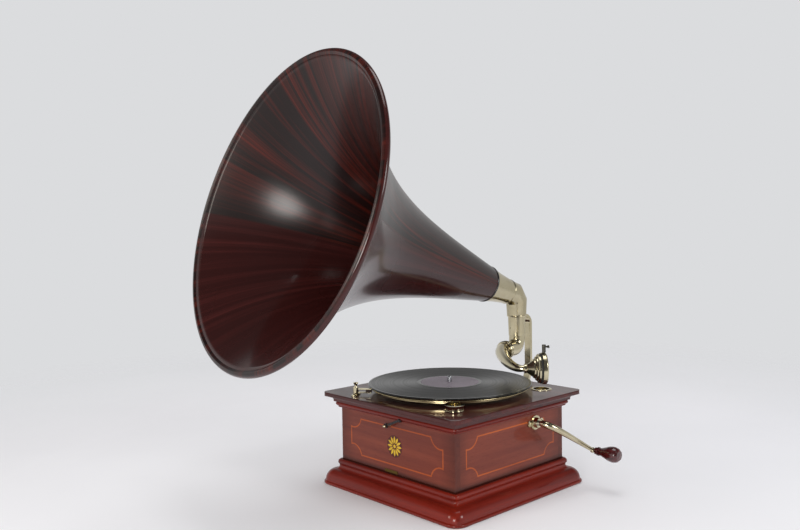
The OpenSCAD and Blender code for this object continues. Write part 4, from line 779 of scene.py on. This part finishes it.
def lathe_bell(size, material):
    """The horn's bell: a profile out along the back of the flare and home along its inside, turned round."""
    t = NodeTree(
        "horn_bell_lathe",
        {
            "Bell Length": ("Float", size.bell_length),
            "Bell Start": ("Float", size.bell_start),
            "Neck Radius": ("Float", size.bell_neck),
            "Cone Spread": ("Float", size.bell_cone),
            "Flare Spread": ("Float", size.bell_flare),
            "Wall": ("Float", size.bell_wall),
            "Rings": ("Int", size.bell_rings),
            "Segments": ("Int", size.bell_segments),
            "Axis Foot": ("Vector", HORN_FOOT),
            "Axis Turn": ("Vector", HORN_EULER),
            "Veneer": ("Material", material),
        },
    )
    columns = t.plus(t["Segments"], 1.0)
    rows = t.plus(t.times(t["Rings"], 2.0), 3.0)
    last = t.minus(rows, 1.0)
    grid = {"Size X": 1.0, "Size Y": 1.0, "Vertices X": columns, "Vertices Y": rows}
    sheet = t.out("GeometryNodeMeshGrid", grid)
    place = t.position()
    angle = t.times(t.plus(place[0], 0.5), math.tau)
    row = t.maths("ROUND", t.times(t.plus(place[1], 0.5), last))
    inside = t.times(t.maths("GREATER_THAN", row, t["Rings"]), t.maths("LESS_THAN", row, last))
    home = t.over(t.minus(t.minus(last, 1.0), row), t["Rings"])
    out = t.over(row, t["Rings"])
    closing = t.maths("COMPARE", row, last)
    share = t.pick(closing, t.pick(inside, out, home), 0.0)
    cube = t.maths("POWER", share, 3.0)
    spread = t.plus(t.times(t["Cone Spread"], share), t.times(t["Flare Spread"], t.times(cube, share)))
    rise = t.plus(t["Cone Spread"], t.times(t.times(t["Flare Spread"], 4.0), cube))
    lean = t.maths("ARCTANGENT", t.over(rise, t["Bell Length"]))
    wall = t.times(inside, t["Wall"])
    started = t.maths("GREATER_THAN", share, 0.0)
    radius = t.minus(t.plus(t["Neck Radius"], spread), t.times(wall, t.maths("COSINE", lean)))
    along = t.plus(t["Bell Start"], t.times(t["Bell Length"], share))
    height = t.plus(along, t.times(started, t.times(wall, t.maths("SINE", lean))))
    east, north = t.times(radius, t.maths("COSINE", angle)), t.times(radius, t.maths("SINE", angle))
    turned = t.reshape(sheet, t.join(east, north, height))
    mark = {"Geometry": turned, "Name": "inside", "Value": inside}
    marked = t.out("GeometryNodeStoreNamedAttribute", mark, data_type="FLOAT", domain="POINT")
    placed = t.place(t.weld(marked, 1e-5), Translation=t["Axis Foot"], Rotation=t["Axis Turn"])
    return t.grow("horn_bell_veneered", t.finish(t.smooth(placed), t["Veneer"]))


def fan_petals(size, centre, material):
    """The rosette's petals: one lens-shaped petal, repeated round the middle, and a small disc."""
    t = NodeTree(
        "rosette_petals",
        {
            "Count": ("Int", size.rosette_petals),
            "Inner Radius": ("Float", size.rosette * 0.13),
            "Outer Radius": ("Float", size.rosette * 0.46),
            "Bulge": ("Float", size.rosette * 0.056),
            "Depth": ("Float", 0.0004),
            "Centre": ("Vector", centre),
            "Wood": ("Material", material),
        },
    )
    span = t.minus(t["Outer Radius"], t["Inner Radius"])
    sheet = t.out("GeometryNodeMeshGrid", {"Size X": 1.0, "Size Y": 2.0, "Vertices X": 17, "Vertices Y": 5})
    place = t.position()
    share = t.plus(place[0], 0.5)
    belly = t.times(t.times(share, t.minus(1.0, share)), 4.0)
    across = t.times(t.times(place[1], belly), t["Bulge"])
    lens = t.reshape(sheet, t.join(t.plus(t["Inner Radius"], t.times(share, span)), across, 0.0))
    lift = {"Mesh": t.weld(lens, 1e-6), "Offset Scale": t["Depth"], "Individual": False}
    thick = t.out("GeometryNodeExtrudeMesh", lift)
    whorl = t.out("GeometryNodeMeshLine", {"Count": t["Count"], "Offset": (0.0, 0.0, 0.0)})
    step = t.over(t.times(t.out("GeometryNodeInputIndex", {}), math.tau), t["Count"])
    fan = {"Points": whorl, "Instance": thick, "Rotation": t.join(0.0, 0.0, step)}
    petals = t.out("GeometryNodeInstanceOnPoints", fan)
    disc = {"Vertices": 48, "Radius": t.times(t["Inner Radius"], 0.62), "Depth": t.times(t["Depth"], 2.0)}
    whole = t.together(petals, t.out("GeometryNodeMeshCylinder", disc))
    placed = t.place(whole, Translation=t["Centre"], Rotation=(QUARTER, 0.0, 0.0))
    return t.grow("rosette_petals", t.finish(placed, t["Wood"]))


def plate_pins(size, centre, material):
    """Two round-headed pins at the ends of the bare plate."""
    inset = 0.0018
    t = NodeTree(
        "plate_pins",
        {
            "Spacing": ("Float", size.plate_length - 2 * inset),
            "Pin Radius": ("Float", size.plate_pin),
            "Centre": ("Vector", centre),
            "Metal": ("Material", material),
        },
    )
    half = t.times(t["Spacing"], 0.5)
    start = t.join(t.times(half, -1.0), 0.0, 0.0)
    offset = t.join(t["Spacing"], 0.0, 0.0)
    row = t.out("GeometryNodeMeshLine", {"Count": 2, "Start Location": start, "Offset": offset})
    head = t.out("GeometryNodeMeshUVSphere", {"Segments": 20, "Rings": 12, "Radius": t["Pin Radius"]})
    domed = t.place(head, Scale=(1.0, 0.55, 1.0))
    heads = t.out("GeometryNodeInstanceOnPoints", {"Points": row, "Instance": domed})
    placed = t.place(heads, Translation=t["Centre"])
    return t.grow("plate_pins", t.finish(t.smooth(placed), t["Metal"]))


def extra(piece, body_of):
    """Gives a piece that stands for no part its body."""
    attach(piece, body_of)


# ---------------------------------------------------------------- operators


class GRAMOPHONE_OT_cabinet(bpy.types.Operator):
    """Finish the panels, the mouldings and the motor board"""

    bl_idname = "gramophone.cabinet"
    bl_label = "Cabinet"

    def execute(self, context):
        c, s = colours(), sizes()
        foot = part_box("plinth_moulding")[1].z
        for grain, nodes in (("x", ("front_panel", "rear_panel")), ("y", ("left_panel", "right_panel"))):
            name = "panel_mahogany_" + grain
            wood = polished_wood(name, c.panel_light, c.panel_dark, grain, foot=foot, half=s.case_half)
            dress(wood, *nodes)
        light, dark = c.moulding_light, c.moulding_dark
        red = polished_wood("moulding_mahogany", light, dark, "round", coat=0.5, coat_roughness=0.05)
        nose = [(0.0, 0.0), (24.5, 0.0), *arc((24.0, 2.5), 2.5, -70, 75), (24.2, 5.4)]
        nose += [*arc((10.0, 5.6), (14.2, 16.6), 3, 84, 20), *arc((10.2, 27.0), 4.7, 262, 180), (5.5, 28.6)]
        nose += [*arc((3.2, 32.8), (4.2, 4.4), -52, 80), (2.4, 36.2), (0.0, 36.2)]
        seat(moulded_square("plinth_run", nose, s, 0.0), red, "plinth_moulding")
        top = 8.6
        beads = [(0.0, 0.0), *arc((4.0, 1.4), (2.0, 1.4), -90, 55)]
        beads += [*arc((5.8, 5.6), (3.4, 3.0), -75, 90), (0.0, top)]
        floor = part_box("motor_board")[0].z - top / 1000
        seat(moulded_square("bead_run", beads, s, floor), red, "bead_moulding")
        light, dark = c.board_light, c.board_dark
        board = polished_wood("board_mahogany", light, dark, "x", coat=0.55, coat_roughness=0.06)
        dress(board, "motor_board", limit=28)
        dress(raw_wood("sawn_pine_x", c.raw_wood, "x"), "bottom_board")
        dress(raw_wood("sawn_pine_z", c.raw_wood, "z"), "glue_blocks")
        return {"FINISHED"}


class GRAMOPHONE_OT_inlay(bpy.types.Operator):
    """Lay in the scooped line and the fan rosette"""

    bl_idname = "gramophone.inlay"
    bl_label = "Inlay"

    def execute(self, context):
        c, s = colours(), sizes()
        line = polished_wood("line_satinwood", c.line_light, c.line_dark, "round", coat=0.3)
        dress(line, "panel_stringing")
        low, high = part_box("front_rosette")
        middle = (low + high) / 2
        round_disc = {"cap_ends": True, "segments": 96, "radius1": s.rosette / 2, "radius2": s.rosette / 2}
        stand = Matrix.Translation(middle) @ Matrix.Rotation(QUARTER, 4, "X")
        work = bmesh.new()
        bmesh.ops.create_cone(work, depth=high.y - low.y, matrix=stand, **round_disc)
        ground = polished_wood("ground_walnut", c.ground, darker(c.ground, 0.7), "x", coat=0.3)
        seat(as_object("rosette_ground", work), ground, "front_rosette")
        yellow = polished_wood("petal_boxwood", c.petal, darker(c.petal, 0.72), "z", coat=0.3)
        sunk = 0.00032
        petals = fan_petals(s, (middle.x, low.y + sunk, middle.z), yellow)
        extra(petals, BODY_OF["front_rosette"])
        return {"FINISHED"}


class GRAMOPHONE_OT_case_fittings(bpy.types.Operator):
    """Finish the hook, the bracket, the cups, the brake and the escutcheon, and pin on the bare plate"""

    bl_idname = "gramophone.case_fittings"
    bl_label = "Case Fittings"

    def execute(self, context):
        c, s = colours(), sizes()
        nickel = plate("fittings_nickel", c.nickel, 0.07, 0.18)
        dress(nickel, "horn_bracket", "case_screws", "crank_escutcheon", limit=32)
        dress(nickel, "raised_needle_cup", "sunk_needle_cup", limit=32)
        dress(nickel, "brake_base", "brake_lever", "brake_knob", limit=32)
        dress(grained_leather("brake_leather", c.leather), "brake_pad")
        blued = blued_steel("hook_steel", c.spring_steel)
        dress(blued, "lid_hook")
        screws = clean_copy("lid_hook_fittings", 32)
        seat(screws, [nickel, blued], "lid_hook_fittings")
        low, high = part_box("lid_hook_fittings")
        for face in screws.data.polygons:
            face.material_index = int(face.center.x > (low.x + high.x) / 2)
        middle = Vector((PLATE_X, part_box("front_panel")[0].y, PLATE_Z))
        proud, thick, bevel = Vector((0, -0.0007, 0)), 0.0008, 0.00022
        stand = Matrix.Translation(middle - Vector((0, 0.0003, 0)))
        spread = Matrix.Diagonal((s.plate_length, thick, s.plate_height, 1))
        work = bmesh.new()
        bmesh.ops.create_cube(work, size=1, matrix=stand @ spread)
        bmesh.ops.bevel(work, geom=work.edges, offset=bevel, segments=2, affect="EDGES")
        tag = as_object("bare_plate", work)
        aged = plate("plate_brass", darker(c.brass, 0.22), 0.3, 0.45, 0.8)
        tag.data.materials.append(aged)
        extra(tag, "cabinet")
        extra(plate_pins(s, tuple(middle + proud), aged), "cabinet")
        return {"FINISHED"}


class GRAMOPHONE_OT_turntable(bpy.types.Operator):
    """Finish the platter, the felt, the record and its label"""

    bl_idname = "gramophone.turntable"
    bl_label = "Turntable"

    def execute(self, context):
        c = colours()
        low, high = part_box("record")
        centre = ((low.x + high.x) / 2, (low.y + high.y) / 2, high.z)
        lip = sizes().platter_radius * 1000
        web, under, wall = 4.4, 0.4, 3.7
        dish = [(5.0, web), (lip - 9.5, web), (lip - 9.5, under), (lip - 7.9, under), (lip - 7.9, wall)]
        dish += [(lip - 1.1, wall), *arc((lip - 1.1, 4.85), 1.15, -90, 90), (5.0, 6.0)]
        rim = plate("platter_plate", c.rim_brass, 0.14, 0.26, 0.5)
        ring = 0.06
        dish = [(out - ring * 1000, up) for out, up in dish]
        foot = (centre[0], centre[1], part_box("platter")[0].z)
        seat(run_round("platter_dish", dish, foot, rim, ring), rim, "platter")
        dress(nap("turntable_felt", c.felt), "platter_felt")
        dress(grooved_shellac("record_shellac", c.record, centre), "record", limit=40)
        dress(label_paper("record_label_paper", c.label, centre), "record_label")
        dress(turned_metal("spindle_steel", c.steel, centre), "spindle_shaft", limit=32)
        return {"FINISHED"}


class GRAMOPHONE_OT_motor(bpy.types.Operator):
    """Finish the spring motor and its governor"""

    bl_idname = "gramophone.motor"
    bl_label = "Motor"

    def execute(self, context):
        c = colours()
        upright, level = (0, 0, 0), (0, QUARTER, 0)
        governor = ["governor_spindle", "governor_weights", "governor_disc"]
        dress(plate("motor_plate_brass", c.brass, 0.28, 0.42, 0.6), "motor_plates", "shaft_bearings")
        dress(turned_metal("pillar_steel", c.steel, (0, 0, 0)), "motor_pillars")
        dress(plate("motor_bolt_nickel", c.nickel, 0.2, 0.34), "motor_bolts")
        dress(blued_steel("mainspring_steel", c.spring_steel), "mainspring")
        for name, tone, turn, limit, nodes in (
            ("first_arbor_steel", c.steel, upright, 25, ["spindle_gears"]),
            ("second_wheel_brass", c.brass, upright, 25, ["intermediate_gears"]),
            ("second_arbor_steel", c.steel, upright, 35, ["intermediate_arbor"]),
            ("barrel_brass", c.brass, upright, 25, ["spring_barrel"]),
            ("barrel_arbor_steel", c.steel, upright, 25, ["spring_arbor"]),
            ("winding_steel", c.steel, level, 35, ["winding_shaft", "winding_pinion"]),
            ("governor_steel", c.steel, level, 30, governor),
        ):
            low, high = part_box(nodes[0])
            dress(turned_metal(name, tone, tuple((low + high) / 2), turn), *nodes, limit=limit)
        return {"FINISHED"}


class GRAMOPHONE_OT_crank(bpy.types.Operator):
    """Finish the crank's bar, its pin and its turned handle"""

    bl_idname = "gramophone.crank"
    bl_label = "Crank"

    def execute(self, context):
        c, s = colours(), sizes()
        metal = plate("crank_nickel", c.nickel, 0.12, 0.26, 0.45)
        dress(metal, "crank_pin", limit=40)
        low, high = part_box("crank_arm")
        hub, knuckle = JOINT_AT["crank_turn"].copy(), JOINT_AT["grip_spin"].copy()
        hub.x, knuckle.x = low.x, high.x - s.crank_knuckle
        straight, bulge = Vector((0.021, 0.0, 0.0)), Vector((0.008, 0.0, 0.0))
        leaving = hub + straight
        arriving = knuckle + 0.5 * (hub - knuckle) + bulge
        rod = bent_rod("crank_rod", bezier(hub, leaving, arriving, knuckle), s, metal)
        seat(rod, metal, "crank_arm")
        low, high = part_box("crank_handle")
        middle = tuple((low + high) / 2)
        wood = turned_wood("handle_wood", c.handle, darker(c.handle, 0.4), middle, (0, QUARTER, 0))
        dress(wood, "crank_handle", limit=40)
        return {"FINISHED"}


class GRAMOPHONE_OT_tonearm(bpy.types.Operator):
    """Finish the tonearm and its sound box"""

    bl_idname = "gramophone.tonearm"
    bl_label = "Tonearm and Sound Box"

    def execute(self, context):
        c = colours()
        arm = plate("arm_nickel", c.nickel, 0.09, 0.2, 0.4)
        dress(arm, "tonearm_stub", "tonearm_collar", "taper_arm", limit=38)
        box = plate("sound_box_nickel", c.nickel, 0.14, 0.28, 0.3)
        dress(box, "sound_box_flange", "sound_box_back", "sound_box_bezel", limit=32)
        dull = plate("needle_bar_steel", c.dull_steel, 0.2, 0.34, 0.5)
        dress(dull, "needle_bar", "needle_screw", limit=32)
        dress(moulded_rubber("gasket_rubber", c.rubber), "sound_box_gaskets")
        dress(mica_sheet("diaphragm_mica", c.mica), "diaphragm")
        return {"FINISHED"}


class GRAMOPHONE_OT_horn(bpy.types.Operator):
    """Turn the veneered bell and finish the rim, the ring and the metal neck"""

    bl_idname = "gramophone.horn"
    bl_label = "Horn"

    def execute(self, context):
        c, s = colours(), sizes()
        inner = horn_veneer("horn_inside_veneer", c.horn_dark, c.horn_red, 0.32, 0.46, 0.24)
        back = horn_veneer("horn_back_veneer", darker(c.horn_back, 0.45), c.horn_back, 0.24, 0.34, 0.12)
        bell = lathe_bell(s, inner)
        seat(bell, [inner, back], "horn_bell")
        inside = bell.data.attributes["inside"].data
        for face in bell.data.polygons:
            face.material_index = 0 if all(inside[v].value > 0.5 for v in face.vertices) else 1
        rim = horn_veneer("horn_rim_veneer", darker(c.horn_back, 0.6), c.horn_back, 0.22, 0.32, 0.1)
        mouth = (s.bell_neck + s.bell_cone + s.bell_flare) * 1000
        end = (s.bell_start + s.bell_length) * 1000
        lean = math.atan((s.bell_cone + 4 * s.bell_flare) / s.bell_length)
        flush = -s.bell_wall * 1000
        section = [(0.05, flush), *arc((3.4, flush + 1.4), 1.4, -90, -35, 4)]
        section += arc((2.0, 1.0), s.rim_bead * 1000, -35, 200, 28)
        ring = 0.2
        turned = []
        for along, across in section:
            out = mouth + along * math.sin(lean) + across * math.cos(lean)
            turned.append((out - ring * 1000, end + along * math.cos(lean) - across * math.sin(lean)))
        bead = run_round("horn_rim_turned", turned, HORN_FOOT, rim, ring, HORN_EULER)
        seat(bead, [rim, inner], "horn_rim")
        facing = 0.7
        for face in bead.data.polygons:
            face.material_index = int(face.normal.dot(HORN_WAY) > facing)
        foot = s.bell_start * 1000
        thin = [(-0.8, foot), (1.0, foot), *arc((1.0, foot + 1.6), (0.7, 1.6), -90, 90), (-0.8, foot + 3.2)]
        ebony = turned_wood("end_ring_ebony", c.ebony, darker(c.ebony, 0.5), HORN_FOOT, HORN_EULER)
        black = run_round("end_ring_turned", thin, HORN_FOOT, ebony, s.end_ring, HORN_EULER)
        seat(black, ebony, "horn_end_ring")
        neck = plate("horn_neck_nickel", darker(c.nickel, 0.86), 0.1, 0.2, 0.5)
        dress(neck, "horn_sleeve", limit=38)
        inset = 0.001
        low = Vector((HORN_FOOT[0], HORN_FOOT[1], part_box("horn_bracket")[1].z - inset))
        high = Vector(HORN_FOOT) + HORN_WAY * s.elbow_end
        seat(mitred_elbow("elbow_mitred", low, high, s), neck, "horn_elbow")
        return {"FINISHED"}


def lamp(name, place, target, size, power, tint=(1.0, 1.0, 1.0), shape="SQUARE"):
    """A soft lamp that faces a point."""
    data = bpy.data.lights.new(name, "AREA")
    data.shape = shape
    data.size = size
    data.energy = power
    data.color = tint
    made = shown(name, data)
    made.location = place
    made.rotation_euler = (Vector(target) - Vector(place)).to_track_quat("-Z", "Y").to_euler()


def lay_floor(reach, tone):
    """A round cloth floor that fades out towards its edge."""
    work = bmesh.new()
    bmesh.ops.create_circle(work, cap_ends=True, segments=128, radius=reach * 1.02)
    floor = as_object("floor", work)
    f = Finish("floor_cloth", Specular_IOR_Level=0.2)
    place = f.surface()
    x, y = f.split(place)[:2]
    weave = f.noise(place, 900, detail=2)
    lie = f.noise(place, 2.2, detail=3)
    base = f.mix(f.fit(lie, 0.35, 0.7), darker(tone, 0.96), tone)
    f.feed("Base Color", f.mix(f.fit(weave, 0.3, 0.7, 0.0, 0.3), base, darker(tone, 0.95)))
    f.feed("Roughness", f.fit(weave, 0.3, 0.7, 0.75, 0.95))
    f.bump(weave, 0.1, 0.0005)
    fade = f.fit(f.distance(x, y), reach * 0.45, reach)
    clear = f.out("ShaderNodeBsdfTransparent", {})
    cloth = f.out("ShaderNodeMixShader", {0: fade, 1: f.shader.outputs[0], 2: clear})
    f.put(f.tree.nodes["Material Output"].inputs["Surface"], cloth)
    floor.data.materials.append(f.material)


def hang_backdrop(tone):
    """A world that shows a plain backdrop, and mirrors a room."""
    world = bpy.data.worlds.new("backdrop")
    bpy.context.scene.world = world
    world.use_nodes = True
    w = Mixer(world.node_tree)
    ray = w.node("ShaderNodeLightPath", {}).outputs
    way = w.node("ShaderNodeTexCoord", {}).outputs["Generated"]
    horizon, ceiling = 0.25, 0.62
    pale, dim, dark = 0.62, 0.07, 0.08
    room = w.fit(w.split(way)[2], horizon, ceiling, pale, dim, "SMOOTHSTEP")
    door = w.node("ShaderNodeVectorMath", {0: way, 1: DOOR_WAY}, operation="DOT_PRODUCT").outputs["Value"]
    frame_edge, opening = 0.72, 0.92
    walls = w.times(room, w.fit(door, frame_edge, opening, 1.0, dark, "SMOOTHSTEP"))
    soft = w.mix(ray["Is Glossy Ray"], ROOM_LIGHT, walls)
    seen = w.mix(ray["Is Transmission Ray"], soft, tone)
    glow = w.tree.nodes["Background"]
    w.put(glow.inputs["Color"], w.mix(ray["Is Camera Ray"], seen, tone))
    glow.inputs["Strength"].default_value = 1.0


def stand_camera():
    """The camera of the photograph."""
    data = bpy.data.cameras.new("camera")
    data.sensor_width = CAMERA_SENSOR
    data.lens = CAMERA_LENS
    data.clip_start = 0.01
    data.clip_end = 50.0
    camera = shown("camera", data)
    turn = Matrix((CAMERA_RIGHT, CAMERA_UP, CAMERA_BACK)).transposed().to_4x4()
    camera.matrix_world = Matrix.Translation(CAMERA_PLACE) @ turn
    bpy.context.scene.camera = camera


class GRAMOPHONE_OT_stage(bpy.types.Operator):
    """Set the floor, the backdrop, the lamps and the camera"""

    bl_idname = "gramophone.stage"
    bl_label = "Stage"

    def execute(self, context):
        c, s = colours(), sizes()
        bpy.context.scene.view_settings.view_transform = "Standard"
        lay_floor(s.floor, c.floor)
        hang_backdrop(c.backdrop)
        lamp("window", (1.15, -2.05, 0.42), (0.0, -0.1, 0.35), 0.74, 20.0, (1.0, 0.98, 0.95), "DISK")
        lamp("left_box", (-0.75, -2.3, 1.15), (0.0, 0.0, 0.25), 0.8, 13.0, (1.0, 0.93, 0.84))
        lamp("right_box", (2.35, 0.45, 1.35), (0.0, 0.0, 0.2), 0.8, 17.0)
        lamp("above", (0.1, 0.3, 2.6), (0.0, 0.0, 0.2), 1.2, 12.0)
        stand_camera()
        return {"FINISHED"}


class GRAMOPHONE_PT_sidebar(bpy.types.Panel):
    """The pieces of the gramophone, and their sizes and colours"""

    bl_label = "Table Gramophone"
    bl_space_type = "VIEW_3D"
    bl_region_type = "UI"
    bl_category = "Gramophone"

    def draw(self, context):
        for operator in OPERATORS:
            self.layout.operator(operator.bl_idname)
        for group in (context.scene.gramophone_sizes, context.scene.gramophone_colours):
            column = self.layout.column()
            for name in group.bl_rna.properties.keys():
                if name not in ("rna_type", "name"):
                    column.prop(group, name)


OPERATORS = (
    GRAMOPHONE_OT_cabinet,
    GRAMOPHONE_OT_inlay,
    GRAMOPHONE_OT_case_fittings,
    GRAMOPHONE_OT_turntable,
    GRAMOPHONE_OT_motor,
    GRAMOPHONE_OT_crank,
    GRAMOPHONE_OT_tonearm,
    GRAMOPHONE_OT_horn,
    GRAMOPHONE_OT_stage,
)
CLASSES = (GramophoneSizes, GramophoneColours, *OPERATORS, GRAMOPHONE_PT_sidebar)


def register():
    for cls in CLASSES:
        bpy.utils.register_class(cls)
    bpy.types.Scene.gramophone_sizes = PointerProperty(type=GramophoneSizes)
    bpy.types.Scene.gramophone_colours = PointerProperty(type=GramophoneColours)


def unregister():
    del bpy.types.Scene.gramophone_colours
    del bpy.types.Scene.gramophone_sizes
    for cls in reversed(CLASSES):
        bpy.utils.unregister_class(cls)


def main():
    register()
    bpy.ops.gramophone.cabinet()
    bpy.ops.gramophone.inlay()
    bpy.ops.gramophone.case_fittings()
    bpy.ops.gramophone.turntable()
    bpy.ops.gramophone.motor()
    bpy.ops.gramophone.crank()
    bpy.ops.gramophone.tonearm()
    bpy.ops.gramophone.horn()
    bpy.ops.gramophone.stage()


if __name__ == "__main__":
    main()
